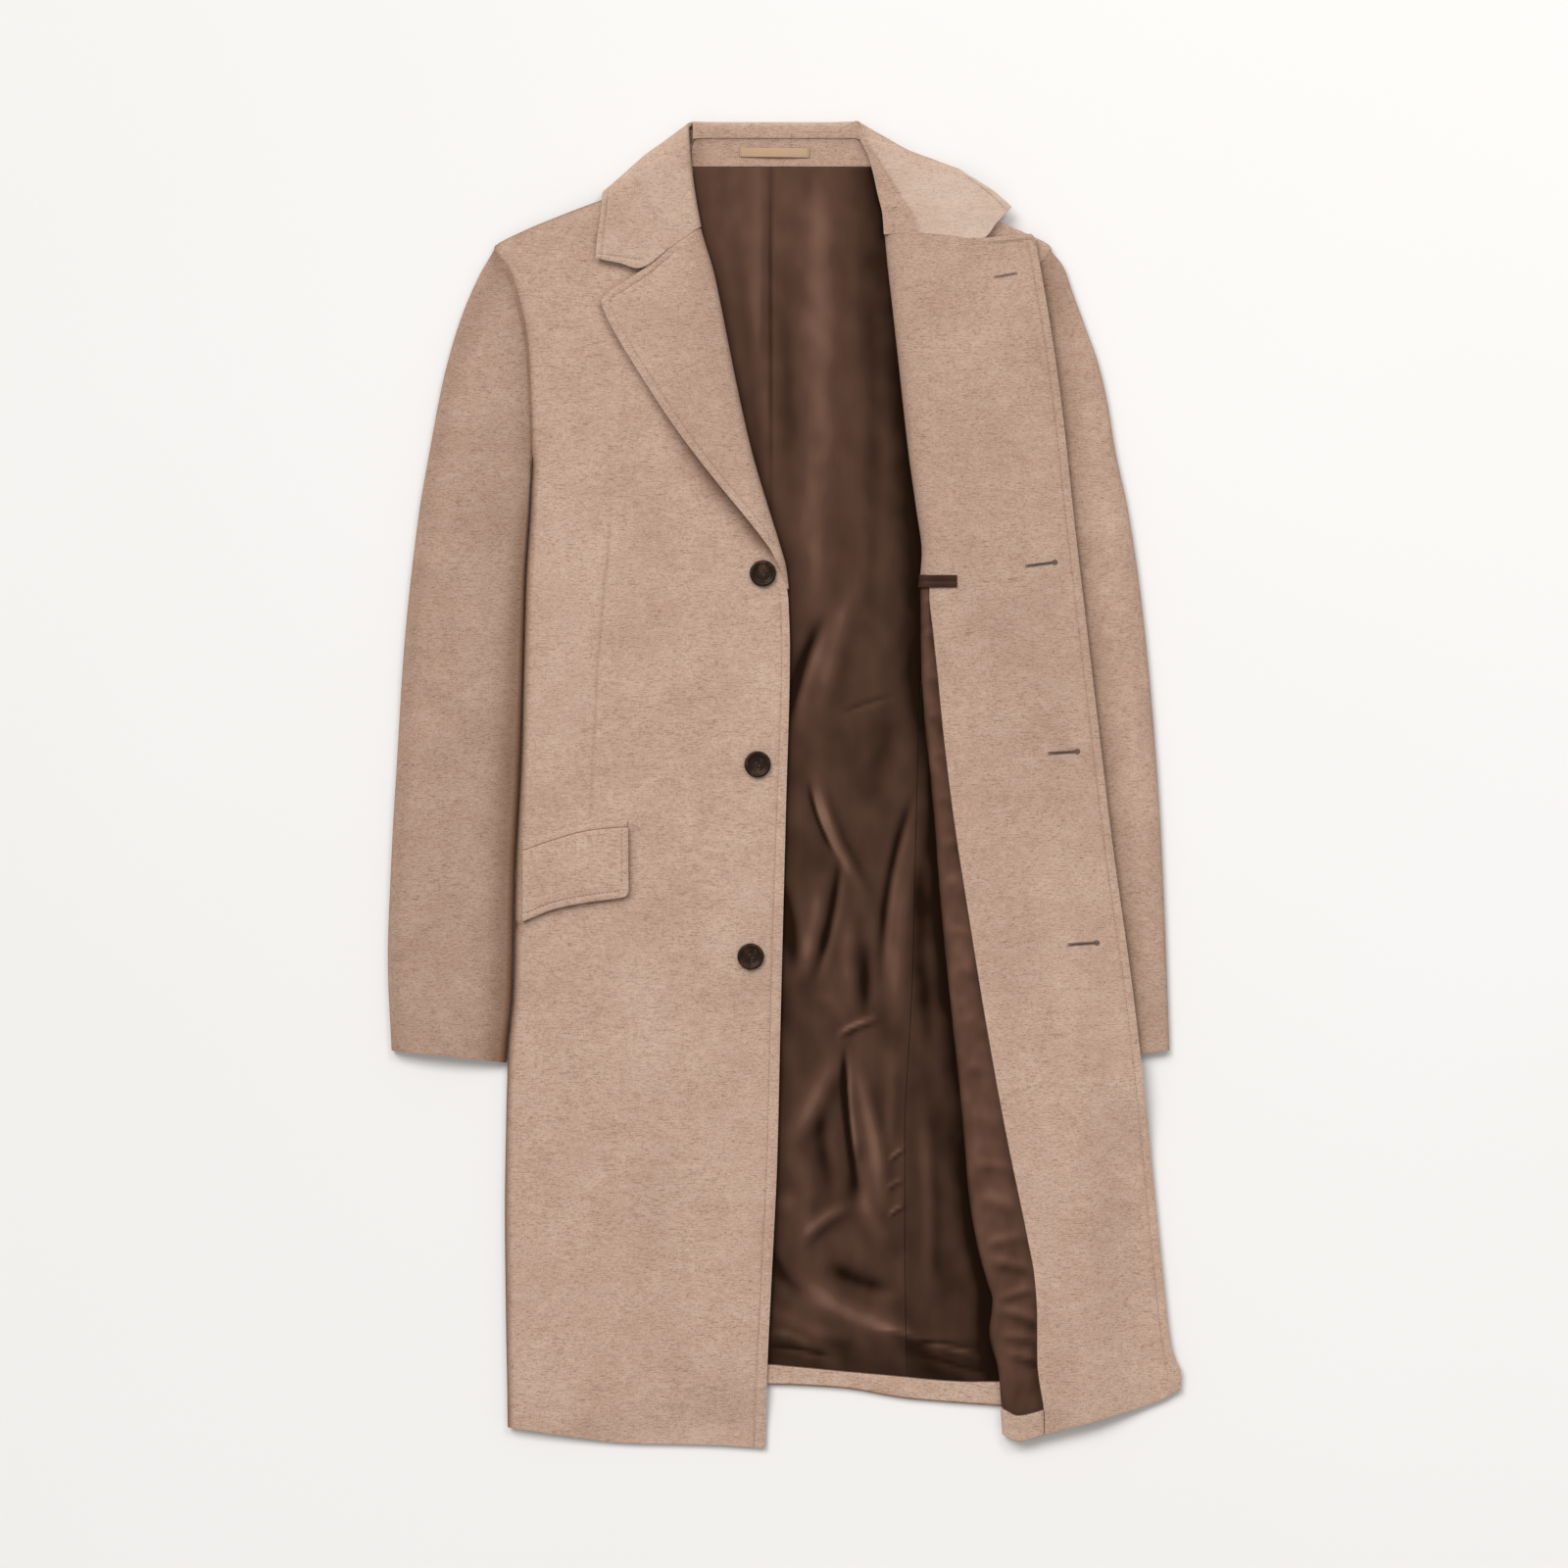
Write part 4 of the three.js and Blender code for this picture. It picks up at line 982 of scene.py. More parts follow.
def lapel_relief(x, y, u, v):
    height = 0.35 * swell(x, y, 60, 8)
    if u > 3.2:
        height += stitched(edge_distance(lapel_edge, x, y)) * (1 - smoothstep(v, 424, 436))
    return height * smoothstep(v, 165, 200)


def turned_relief(x, y, u, v):
    height = (0.7 * swell(x, y, 95, 12) + TURNED_FOLDS(x, y)) * smoothstep(u, 3, 3.2)
    if u > 3.3:
        height += stitched(edge_distance(left_edge, x, y))
        across = 0.95 * smoothstep(x, 160, 166)
        height += across * stitched(turned_top(x) - y, 5) * smoothstep(y, 400, 425)
    return height


def sleeve_relief(x, y, u, v):
    height = 0.7 * wool_swell(x, y, 21) + SLEEVE_FOLDS(x, y)
    height *= smoothstep(u, 0.5, 1.1) * (1 - smoothstep(u, 1.9, 2.5))
    side = "right" if x < 0 else "left"
    away = abs(x - body_side(side, y)) if y > ARMPIT_Y else 99
    return height - (0.35 * math.exp(-((away / 2) ** 2)) + 0.4 * math.exp(-((away / 9) ** 2))) * u / 3


BILLOW = 2.5


def lining_room(x, y):
    """Where the lining is free to rise: not under the fronts, the collar or the hem."""
    beside_front = smoothstep(x - right_edge(y), -1, 15)
    beside_fold = 1 - smoothstep(x, left_fold(y) - 14, left_fold(y) + 1)
    above_hem = smoothstep(y - lining_hem(x), 0, 12)
    return beside_front * beside_fold * above_hem * (1 - smoothstep(y, 430, 498))


def lining_relief(x, y, u=0, v=0):
    rise = BILLOW + 0.5 * swell(x, y, 40, 31) + LINING_FOLDS(x, y) + SIDE_FOLDS(x, y)
    seam = 0.4 * math.exp(-(((x - lining_seam(y)) / 1.2) ** 2)) * (1 - smoothstep(y, -160, -60))
    eased = max(smoothstep(y, 320, 475) - neck_lift(y), 0) * NECK_LIFT_OF_BACK
    return max((rise - seam) * lining_room(x, y), 0) + eased


def lining_shade(x, y, u, v):
    """Painted shade and highlight on the satin: darker in its troughs, down the coat, beside the fold, under the
    right front's edge, past the side seam, at the hem and in the pleat, lighter on its ridges; painted highlight
    on slopes facing up and left, painted shade on slopes facing away; blotchy darker and lighter patches over
    it.
    """
    here = LINING_FOLDS(x, y) + SIDE_FOLDS(x, y)
    across = (LINING_FOLDS(x + 1.2, y) + SIDE_FOLDS(x + 1.2, y) - here) / 1.2
    up = (LINING_FOLDS(x, y + 1.2) + SIDE_FOLDS(x, y + 1.2) - here) / 1.2
    to_fold = max(left_fold(y) + 2 - x, 0)
    band = 0.95 * math.exp(-((to_fold / 24) ** 2)) * smoothstep(y, -60, 220)
    edge_band = 0.85 * math.exp(-((to_fold / 11) ** 2)) * (1 - smoothstep(y, -60, 220))
    side = 0.16 * smoothstep(x, lining_seam(y) - 2, lining_seam(y) + 2) * (1 - smoothstep(y, -160, 0))
    low = 0.02 + 0.36 * (1 - smoothstep(y, -60, 440))
    under_front = 0.3 * math.exp(-((max(x - right_edge(y), 0) / 8) ** 2))
    at_hem = 0.25 * (1 - smoothstep(y, -460, -440))
    lower = 1 - smoothstep(y, -140, 60)
    cloudy = (0.16 + 0.14 * lower) * swell(x + 0.5 * y, y, 26, 77) + 0.12 * swell(x, y, 11, 78)
    slopes = 1.6 * across - 0.9 * up
    pleat = 0.4 * math.exp(-(((x + 9.5) / 1.7) ** 2)) * smoothstep(y, 180, 330)
    beside_pleat = 0.22 * math.exp(-(((x - 3) / 9) ** 2)) * smoothstep(y, 190, 300)
    beside_pleat *= 1 - smoothstep(y, 330, 470)
    deep = low + side + band + edge_band + under_front + at_hem + pleat + beside_pleat
    return deep + cloudy - 0.17 * here - slopes


def strip_relief(x, y, u, v):
    return (0.6 * swell(x, y, 16, 41) + 1.5 * strip_folds(x, y)) * (1 - smoothstep(u, 3.6, 4))


# Painted shade on the lining strip: darker at its bottom and toward its top, where it turns round the fold and
# at its edge, and on pucker slopes facing down, lighter on those facing up; with a soft uneven tone.
def strip_shade(x, y, u, v):
    slope = (strip_folds(x, y + 1) - strip_folds(x, y - 1)) / 2
    low = 0.32 * (1 - smoothstep(y, -470, -340)) + 0.14 * smoothstep(y, -60, 100)
    turn = 0.4 * beside(u - WRAP, 0.25) + 0.3 * beside(4 - u, 0.12)
    return low + turn + 0.3 * swell(x, y, 24, 42) + 0.2 * swell(x, y, 8, 43) + 1.5 * slope


def collar_relief(x, y, u, v):
    height = 0.35 * swell(x, y, 50, 51)
    points = collar_rib(v)
    height -= SEAM_DIP * math.exp(-((u / 2) ** 2)) * smoothstep(v, 11, 12.5)
    if u > 5:
        to_edge = (8 - u) * (points[8] - points[7]).length
        height += stitched(to_edge) * (smoothstep(v, 11.5, 12.5) + 1 - smoothstep(v, 4, 4.6))
    if u > 4.2:
        to_start = abs(v * (collar_rib(1)[7] - collar_rib(0)[7]).length)
        height += stitched(to_start, 5) * (1 - smoothstep(v, 1.2, 2)) * smoothstep(u, 5.6, 6.4)
    return height


def beside(distance, width):
    return math.exp(-((max(distance, 0) / width) ** 2))


def front_shade(x, y, u, v):
    """Painted shade on the right front: shadow where the lapel and flap lie over it, shade beside the sleeve,
    along the armhole, in the dart and where the side turns down; with a soft uneven tone.
    """
    from_lapel = abs(x - lapel_edge(y))
    deep = smoothstep(y, 176, 200) * (1 - smoothstep(y, 230, 330))
    under_lapel = (0.35 + 0.35 * deep) * beside(from_lapel, 6 + 7 * deep)
    under_lapel *= smoothstep(y, 170, 190) * (1 - 0.4 * smoothstep(y, 384, 396)) * (1 - smoothstep(y, 420, 425))
    from_side = x - body_side("right", y)
    by_sleeve = 0.42 * beside(from_side, 4) * (1 - smoothstep(y, 250, 275))
    by_armhole = (0.3 * beside(from_side, 1.6) + 0.1 * beside(from_side, 7)) * smoothstep(y, 250, 275)
    flap_low_y = pocket["flapLow"](x)
    below_flap = 0.34 * beside(flap_low_y - y, 6) if x < FLAP_RIGHT_X and y < flap_low_y else 0
    beside_flap = 0.3 * beside(x - FLAP_RIGHT_X, 4) if x > FLAP_RIGHT_X and -92 < y < -31 else 0
    fade = smoothstep(y, -32, -20) * (1 - smoothstep(y, 190, 235))
    dart_shade = 0.22 * fade * math.exp(-(((x - dart(y)) / 1.3) ** 2))
    soft = 0.09 * swell(x, y, 70, 91) + 0.05 * swell(x, y, 24, 93)
    turn = 0.5 * (1 - u) if u < 1 else 0
    return 0.01 + under_lapel + by_sleeve + by_armhole + below_flap + beside_flap + dart_shade + soft + turn


# Painted shade on the lapel's roll, over a soft uneven tone.
def lapel_shade(x, y, u, v):
    return 0.05 + 0.08 * swell(x, y, 50, 92) + 0.12 * beside(u - 3, 0.2)


# Painted shade along the fold of the turned-back facing; the facing is also drawn a little darker toward the
# top, with a soft uneven tone.
def turned_shade(x, y, u, v):
    upper = smoothstep(y, -200, 100)
    fold = 0.2 * beside(x - left_fold(y), 8)
    return 0.02 + 0.1 * upper + fold + 0.09 * swell(x, y, 60, 94) + 0.05 * swell(x, y, 20, 95)


# Painted shade on the sleeves: toward the right sleeve's inner edge beside the body, at the outer edge, where
# the cloth turns under, along the armhole, and on the left sleeve beside the turned-back front's edge. The right
# sleeve is also drawn darker overall, with a soft uneven tone.
def sleeve_shade(x, y, u, v):
    side = "right" if x < 0 else "left"
    inner = (2 - u) * 90
    outer = beside((u - 1) * 90, 6)
    soft = 0.08 * swell(x, y, 60, 96) + 0.06 * swell(x, y, 22, 97)
    turn = 0.5 * max(u - 2, 0)
    from_seam = abs(x - body_side(side, y)) if y > ARMPIT_Y - 6 else 99
    seam = 0.3 * beside(from_seam, 1.8) + 0.14 * beside(from_seam, 10)
    if side == "right":
        return 0.21 + 0.4 * beside(inner, 13) * (1 - smoothstep(y, 200, 300)) + 0.12 * outer + soft + turn + seam
    by_edge = beside(x - left_edge(max(y, -487)), 14)
    return 0.04 + 0.3 * by_edge + 0.08 * outer + soft + turn


# Painted shade where the under layers curl down at the side seams.
def under_shade(x, y, u, v):
    return 0.6 * (1 - min(u, 1))


# Painted shade along the collar's crease; the right leaf is drawn lighter, with a soft uneven tone.
def collar_shade(x, y, u, v):
    right = smoothstep(v, 11, 13)
    crease = 0.12 * right * math.exp(-((u / 2) ** 2))
    leaf = smoothstep(u, 0.5, 5.5)
    return -0.05 - 0.24 * right * leaf + crease + 0.07 * swell(x, y, 40, 98)


def stand_shade(x, y, u, v):
    return 0.02 + 0.1 * u


# Painted shade at the neck facing's ends and under the neckband's edge; the facing is also drawn a little darker
# overall.
def neck_shade(x, y, u, v):
    sides = beside(x + 72, 9) + 0.4 * beside(66 - x, 9)
    return 0.12 + 0.25 * sides + 0.2 * beside(523 - y, 5)


def right_crown(x, y, share):
    return 0.6 + 4.4 * math.sin(math.pi * share ** 0.8)


def left_crown(x, y, share):
    bare = smoothstep(x - left_edge(max(y, -487)), 2, 30)
    return math.sin(math.pi * share) * (0.8 + 3.2 * bare * (1 - share))


# Rows and columns of the cloth
SIDE_STEPS = spread(0, 1, 6)
RIGHT_ROWS = [RIGHT_FLOOR_Y, -517, -515.5, -513, -510] + spread(-506, LAPEL_START_Y, 192)
RIGHT_ROWS += spread(LAPEL_START_Y, LAPEL_LOW_Y, 20)[1:]
RIGHT_ROWS += spread(LAPEL_LOW_Y, LAPEL_HIGH_Y, 92)[1:] + spread(LAPEL_HIGH_Y, NECK_POINT_Y, 18)[1:]
RIGHT_COLUMNS = SIDE_STEPS + spread(1, 1.2, 8)[1:] + spread(1.2, 1.36, 18)[1:] + spread(1.36, 1.9, 20)[1:]
RIGHT_COLUMNS += spread(1.9, 2, 26)[1:] + spread(2, 3, 12)[1:]
RIGHT_COLUMNS += spread(3, 4, 12)[1:]
TURNED_ROWS = [LEFT_FLOOR_Y, -503, -500, -496, -491, STRIP_LOW_Y] + spread(-484, 143, 180)
TURNED_ROWS += [150, 157, FACING_STEP_Y] + spread(167, 424, 74) + spread(424, TURNED_TOP_Y, 22)[1:]
EDGE_COLUMNS = spread(3.3, 3.88, 30) + spread(3.88, 4, 20)[1:]


def is_lapel(v):
    return LAPEL_START_Y < v < LAPEL_HIGH_Y


def cloth(name, point, columns, rows, flat, area, node, **options):
    """Shell of cloth that stands for its node, whose part from the model it hides."""
    thickness = options.pop("thickness", CLOTH)
    material = options.pop("material", wool)
    slot = options.pop("slot", "wool")
    held = options.pop("held", "laid")
    rests_on = options.pop("rests_on", [])
    with_pieces = options.pop("with_pieces", [])
    piece = shell(name, point, columns, rows, thickness, material, slot, **options)
    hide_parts(node)
    return piece


for side in ("right", "left"):
    cloth(f"back_panel_{side}", back_point(side), SIDE_STEPS + spread(1, 2, 20)[1:],
          spread(-516, 521, 180), (0.24, 1.05), 0.2, f"back_{side}", material=shaded_under_wool, shade=under_shade)

cloth(
    "right_front_panel", right_front_point, RIGHT_COLUMNS, RIGHT_ROWS, (0.26, 1.06), 0.2, "right_front",
    relief=right_front_relief, shade=front_shade, cover=lambda u, v: u < 2 or is_lapel(v),
    rests_on=["back_panel_right"])
cloth("lapel_face", right_front_point, spread(2.3, 3, 12) + spread(3, 3.6, 16)[1:] + spread(3.6, 4, 26)[1:],
      spread(LAPEL_START_Y, LAPEL_HIGH_Y, 124), (0.12, 0.3), 0.018, "right_facing",
      thickness=FACING_CLOTH, lift=lambda v: -FACING_LIFT * rolled(v), relief=lapel_relief,
      shade=lapel_shade, rests_on=["right_front_panel"])

left_columns = SIDE_STEPS + spread(1, 2, 12)[1:] + spread(2, 3, 16)[1:] + spread(3, 4, 30)[1:]
cloth("left_front_panel", left_front_point, left_columns,
      TURNED_ROWS + spread(TURNED_TOP_Y, LEFT_NECK_Y, 14)[1:], (0.32, 1.0), 0.22, "left_front",
      cover=lambda u, v: u < 2 or v < TURNED_TOP_Y, held="folded", rests_on=["back_panel_left"])
cloth("left_front_facing", lambda u, v: left_front_point(facing_place(u, v), v),
      [WRAP, 2.42, 2.5, 2.58, 2.66, 2.75, 2.83, 2.92, 3.0001] + spread(3.02, 3.3, 16) + EDGE_COLUMNS[1:],
      TURNED_ROWS, (0.16, 0.98), 0.125, "left_facing", thickness=FACING_CLOTH, lift=FACING_LIFT,
      relief=turned_relief, shade=turned_shade, cover=lambda u, v: u > 3 or v > FACING_STEP_Y,
      rests_on=["left_front_panel"])
strip_columns = spread(WRAP, 2.75, 6) + spread(2.75, 4, 22)[1:]
cloth("strip_lining", lambda u, v: left_front_point(strip_place(u, v), v), strip_columns,
      spread(STRIP_LOW_Y, FACING_STEP_Y - 2 * SEAM_GAP, 250), (0.05, 0.66), 0.021, "lining_front",
      thickness=LINING_CLOTH, lift=LINING_LIFT, relief=strip_relief, shade=strip_shade,
      material=strip_lining, slot="lining", rests_on=["left_front_panel"])
cloth("left_hem", lambda u, v: left_front_point(strip_place(u, v), v), strip_columns,
      spread(LEFT_FLOOR_Y, STRIP_LOW_Y - 2 * SEAM_GAP, 8), (0.045, 0.02), 0.0008, "front_hem",
      thickness=FACING_CLOTH, lift=FACING_LIFT, rests_on=["left_front_panel"])

for side, crown in (("right", right_crown), ("left", left_crown)):
    cloth(f"sleeve_face_{side}", sleeve_point(side, "upper", crown),
          SIDE_STEPS + spread(1, 2, 44)[1:] + spread(2, 3, 6)[1:], spread(0, 1, 190), (0.21, 0.66), 0.072,
          f"sleeve_{side}_upper", relief=sleeve_relief, shade=sleeve_shade)
    # The under layer's shade paints shade where it turns up at the inner edge.
    cloth(f"sleeve_back_{side}", sleeve_point(side, "under", crown),
          SIDE_STEPS + spread(1, 2, 20)[1:] + spread(2, 3, 6)[1:], spread(0, 1, 80), (0.21, 0.66), 0.072,
          f"sleeve_{side}_under", material=shaded_under_wool, shade=lambda x, y, u, v: 0.6 * max(u - 2, 0))

collar_rows = spread(0, 4, 90) + spread(4, 12, 110)[1:] + spread(12, 16, 80)[1:]
cloth("collar_fall", collar_point, spread(0, 4, 16) + spread(4, 7, 24)[1:] + spread(7, 8, 16)[1:],
      collar_rows,
      (0.1, 0.48), 0.03, "collar", thickness=COLLAR_CLOTH, relief=collar_relief, material=collar_wool,
      shade=collar_shade, held="folded", rests_on=["right_front_panel"])
cloth("collar_neckband", stand_point, spread(0, 1, 8), spread(6, 16, 120),
      (0.03, 0.26), 0.003, "collar_stand",
      thickness=COLLAR_CLOTH, rests_on=["back_facing"], material=collar_wool, shade=stand_shade)

cloth("back_facing", inside(lambda y: lerp(-75, -71, smoothstep(y, 511, NECK_SEAM_Y)),
                            lambda y: lerp(78, 69, smoothstep(y, 500, NECK_SEAM_Y)), FACING_CLOTH),
      spread(0, 1, 40), spread(NECK_FACING_LOW_Y, NECK_SEAM_Y, 14), (0.14, 0.023), 0.0031, "neck_facing",
      thickness=FACING_CLOTH, shade=neck_shade, rests_on=["back_panel_right", "back_panel_left"])
lining_surface = inside(lining_left, lining_right, LINING_CLOTH)
cloth("back_lining", to_lining_hem(lining_surface), spread(0, 1, 90),
      spread(LINING_FLOOR_Y, LINING_TOP_Y, 320),
      (0.2, 0.98), 0.14, "lining_back", thickness=LINING_CLOTH, relief=lining_relief, material=lining,
      shade=lining_shade, slot="lining", rests_on=["back_panel_right", "back_panel_left"])
side_surface = inside(lambda y: lining_seam(y) + SEAM_GAP / 2, lambda y: left_fold(y) + 22, LINING_CLOTH)
cloth("side_lining", to_lining_hem(side_surface), spread(0, 1, 44), spread(LINING_FLOOR_Y, 150, 220),
      (0.1, 0.63), 0.032, "lining_side", thickness=LINING_CLOTH, relief=lining_relief, material=lining,
      shade=lining_shade, slot="lining", rests_on=["back_panel_left"])


def back_hem_point(u, v):
    x = lerp(-38, 196, u)
    low = back_hem(x) + 1
    return Vector((x, lerp(low, lining_hem(x) - 3 * SEAM_GAP, v), inside_level(low, FACING_CLOTH)))


cloth("back_hem_turn", back_hem_point, spread(0, 1, 60), spread(0, 1, 8), (0.235, 0.025), 0.0045, "back_hem",
      thickness=FACING_CLOTH, rests_on=["back_panel_right", "back_panel_left"],
      relief=lambda x, y, u, v: 0.3 * swell(x, y, 20, 61))


def flap_low(x):
    near_end = max(x - (FLAP_RIGHT_X - FLAP_CORNER), 0) / FLAP_CORNER
    return pocket["flapLow"](x) + FLAP_CORNER * (1 - math.sqrt(max(1 - near_end * near_end, 0)))


def flap_relief(x, y, u, v):
    height = 0.5 * math.sin(math.pi * v) + 0.3 * swell(x, y, 30, 71)
    height += stitched(FLAP_RIGHT_X - x, 5, 0.55) * smoothstep(y, -82, -76)
    return height + stitched(y - pocket["flapLow"](x), 5.5, 0.55) * (1 - smoothstep(x, -134, -129))


cloth("hip_flap", pocket_piece(lambda x: pocket["jetLow"](x) - SEAM_GAP, flap_low, FLAP_RIGHT_X, 3.2),
      spread(0, 0.9, 40) + spread(0.9, 1, 20)[1:], spread(0, 0.2, 18) + spread(0.2, 1, 20)[1:],
      (0.086, 0.055), 0.0046, "pocket_flap", thickness=3.2, relief=flap_relief,
      rests_on=["right_front_panel"])
cloth("hip_jet", pocket_piece(pocket["jetTop"], pocket["jetLow"], FLAP_RIGHT_X - 0.8, 1.8),
      spread(0, 1, 50), spread(0, 1, 8), (0.086, 0.014), 0.0006, "pocket_jet", thickness=1.8,
      relief=lambda x, y, u, v: 0.4 * math.sin(math.pi * v), rests_on=["right_front_panel"])

INNER_JET = {"right": 139, "y": 164, "height": 9, "thickness": 0.8}
JET_LIFT = FACING_LIFT + FACING_CLOTH / 2 + 1.5 * SEAM_GAP + INNER_JET["thickness"] / 2
cloth("inner_jet", lambda u, v: left_front_point(lerp(2.6, turned_at(INNER_JET["right"], v), u), v),
      spread(0, 1, 30), spread(INNER_JET["y"] - 5, INNER_JET["y"] + 5, 10), (0.034, 0.011), 0.00036,
      "inner_pocket_jet", thickness=INNER_JET["thickness"], lift=JET_LIFT, material=jet_satin,
      slot="lining", rests_on=["left_front_facing"],
      relief=lambda x, y, u, v: 0.4 - 0.7 * math.exp(-(((y - INNER_JET["y"]) / 1.1) ** 2)))

LOOP = {"left": -35.5, "right": 20.5, "low": 506, "high": 513.5, "thickness": 1.2, "tilt": -0.012, "bow": 1.2}
loop_level = (inside_level(LOOP["low"], FACING_CLOTH) + FACING_CLOTH / 2 + SEAM_GAP + LOOP["thickness"] / 2)


def loop_point(u, v):
    x = lerp(LOOP["left"], LOOP["right"], u)
    narrow = lerp(LOOP["low"], LOOP["high"], v)
    return Vector((x, narrow + LOOP["tilt"] * x, loop_level + LOOP["bow"] * math.sin(math.pi * u) ** 2))


cloth("hanger_tape", loop_point, spread(0, 1, 40), spread(0, 1, 8), (0.056, 0.015), 0.00045, "hanger_loop",
      thickness=LOOP["thickness"], material=tape, slot="loop", rests_on=["back_facing"],
      relief=lambda x, y, u, v: 0.25 * math.sin(math.pi * v) + 0.1 * swell(x, y, 6, 81))


# Sewing: stitches, buttonholes and thread
def along(path, spacing):
    """Evenly spaced places on a line of points, each with its direction."""
    places = []
    left = spacing / 2
    for start, end in zip(path, path[1:]):
        step = end - start
        length = step.length
        while left < length:
            places.append((start + step * (left / length), step / length))
            left += spacing
        left -= length
    return places


def strand_form(sides=6, rings=4):
    form = bmesh.new()
    bmesh.ops.create_uvsphere(form, u_segments=sides, v_segments=rings, radius=1)
    mesh = bpy.data.meshes.new("strand")
    form.to_mesh(mesh)
    form.free()
    return mesh


strand = strand_form()


def turned_to(direction, up=Vector((0, 0, 1))):
    """Rotation that points X along a direction and Z as near up as it can."""
    x_axis = direction.normalized()
    y_axis = up.cross(x_axis).normalized()
    z_axis = x_axis.cross(y_axis)
    return Matrix((x_axis, y_axis, z_axis)).transposed().to_4x4()


def place_strand(form, centre, direction, length, thickness):
    """One stitch as a small long bead lying along a direction."""
    before = len(form.verts)
    form.from_mesh(strand)
    form.verts.ensure_lookup_table()
    size = Matrix.Diagonal((length / 2 * MM, thickness / 2 * MM, thickness / 2 * MM, 1))
    matrix = Matrix.Translation(centre * MM) @ turned_to(direction) @ size
    bmesh.ops.transform(form, matrix=matrix, verts=form.verts[before:])


def top_of(point, lift, relief, up_side):
    """Upper skin of a shell at u, v: its surface moved by lift and relief along its normal."""
    def at(u, v, height=0):
        middle = point(u, v)
        across = point(u + 1e-3, v) - point(u - 1e-3, v)
        up = point(u, v + 0.5) - point(u, v - 0.5)
        normal = across.cross(up).normalized() * up_side
        rise = relief(middle.x, middle.y, u, v) if relief else 0
        return middle + normal * (lift + rise + height)

    return at


def sew(name, paths, material, spacing=3.3, length=2.5, thickness=0.62):
    form = bmesh.new()
    for path in paths:
        for centre, direction in along(path, spacing):
            place_strand(form, centre, direction, length, thickness)
    return finished(name, form, material)


lapel_top = top_of(right_front_point, FACING_LIFT + FACING_CLOTH / 2, lapel_relief, -1)
panel_top = top_of(right_front_point, CLOTH / 2, right_front_relief, 1)
turned_skin = top_of(left_front_point, FACING_LIFT + FACING_CLOTH / 2, turned_relief, 1)


def inset_from(edge, y, inset, side):
    """Place x that lies inset from an edge x = edge(y), on one side of it."""
    slope = (edge(y + 1) - edge(y - 1)) / 2
    return edge(y) + side * inset * math.sqrt(1 + slope * slope)


def lapel_stitch(y):
    x = inset_from(lapel_edge, y, 6.3, 1)
    centre = roll_centre(y)
    return lapel_top(3 + min(max((x - centre) / (lapel_edge(y) - centre), 0), 1), y)


def front_stitch(y):
    inset = lerp(6.3, 8, smoothstep(-y, -100, 150))
    x = inset_from(right_edge, y, inset, -1)
    start = right_front_point(1, y).x
    return panel_top(1 + (x - start) / (right_edge(y) - start), y)


def free_edge_stitch(y):
    return turned_skin(turned_at(inset_from(left_edge, y, 6.3, -1), y), y)


sew("front_stitches", [[front_stitch(y) for y in spread(-514, 157, 300)]], wool_thread)
sew("lapel_stitches", [[lapel_stitch(y) for y in spread(200, 424, 160)]], wool_thread)
top_row = [turned_skin(turned_at(x, 434.5), 434.5) for x in spread(164, 194, 16)]
sew("facing_stitches", [[free_edge_stitch(y) for y in spread(-484, 433, 400)], top_row], wool_thread)


def collar_skin(u, v):
    across = collar_point(min(u + 0.02, 8), v) - collar_point(u - 0.02, v)
    up = collar_point(u, v + 0.02) - collar_point(u, v - 0.02)
    normal = across.cross(up).normalized()
    if normal.z < 0:
        normal = -normal
    middle = collar_point(u, v)
    return middle + normal * (COLLAR_CLOTH / 2 + collar_relief(middle.x, middle.y, u, v))


def collar_inset(v, inset):
    points = collar_rib(v)
    return 8 - inset / (points[8] - points[7]).length


end_place = 5 / (collar_rib(1)[7] - collar_rib(0)[7]).length
sew("collar_stitches", [
    [collar_skin(collar_inset(v, 6.3), v) for v in spread(0.25, 4.1, 60)],
    [collar_skin(u, end_place) for u in spread(5.9, 7.75, 30)],
    [collar_skin(collar_inset(v, 6.3), v) for v in spread(12.2, 15.7, 60)]], wool_thread)

FLAP_Z = FRONT_Z + CLOTH / 2 + SEAM_GAP + 3.2
flap_ends = [Vector((FLAP_RIGHT_X - 5, y, FLAP_Z - 0.1)) for y in spread(-35, -84, 20)]
flap_low_path = [Vector((x, pocket["flapLow"](x) + 5.5, FLAP_Z - 0.1)) for x in spread(-208, -132, 30)]
sew("flap_stitches", [flap_ends, flap_low_path], wool_thread)
sew("loop_stitches", [
    [Vector((x, y, loop_level + 0.8)) for y in spread(506.6, 513.4, 6)] for x in (-34.4, 19.2)],
    thread_finish("loop_thread", colour(178, 146, 106), colour(140, 110, 76)), 1.3, 1.1, 0.5)

# Buttonholes: a slit whipped with thread, with a round eyelet where the button's shank sits
KEYHOLES = table(
    "fromX fromY toX toY eye",
    (194.3, 176.2, 217.3, 179.3, 1), (212.5, 25.3, 235.4, 26.9, 1), (228.3, -128.8, 251.2, -127.2, 1))
LAPEL_HOLE = table("fromX fromY toX toY eye", (169, 408.8, 188, 411.6, 0))


def on_facing(x, y, height=0):
    return turned_skin(turned_at(x, y), y, height)


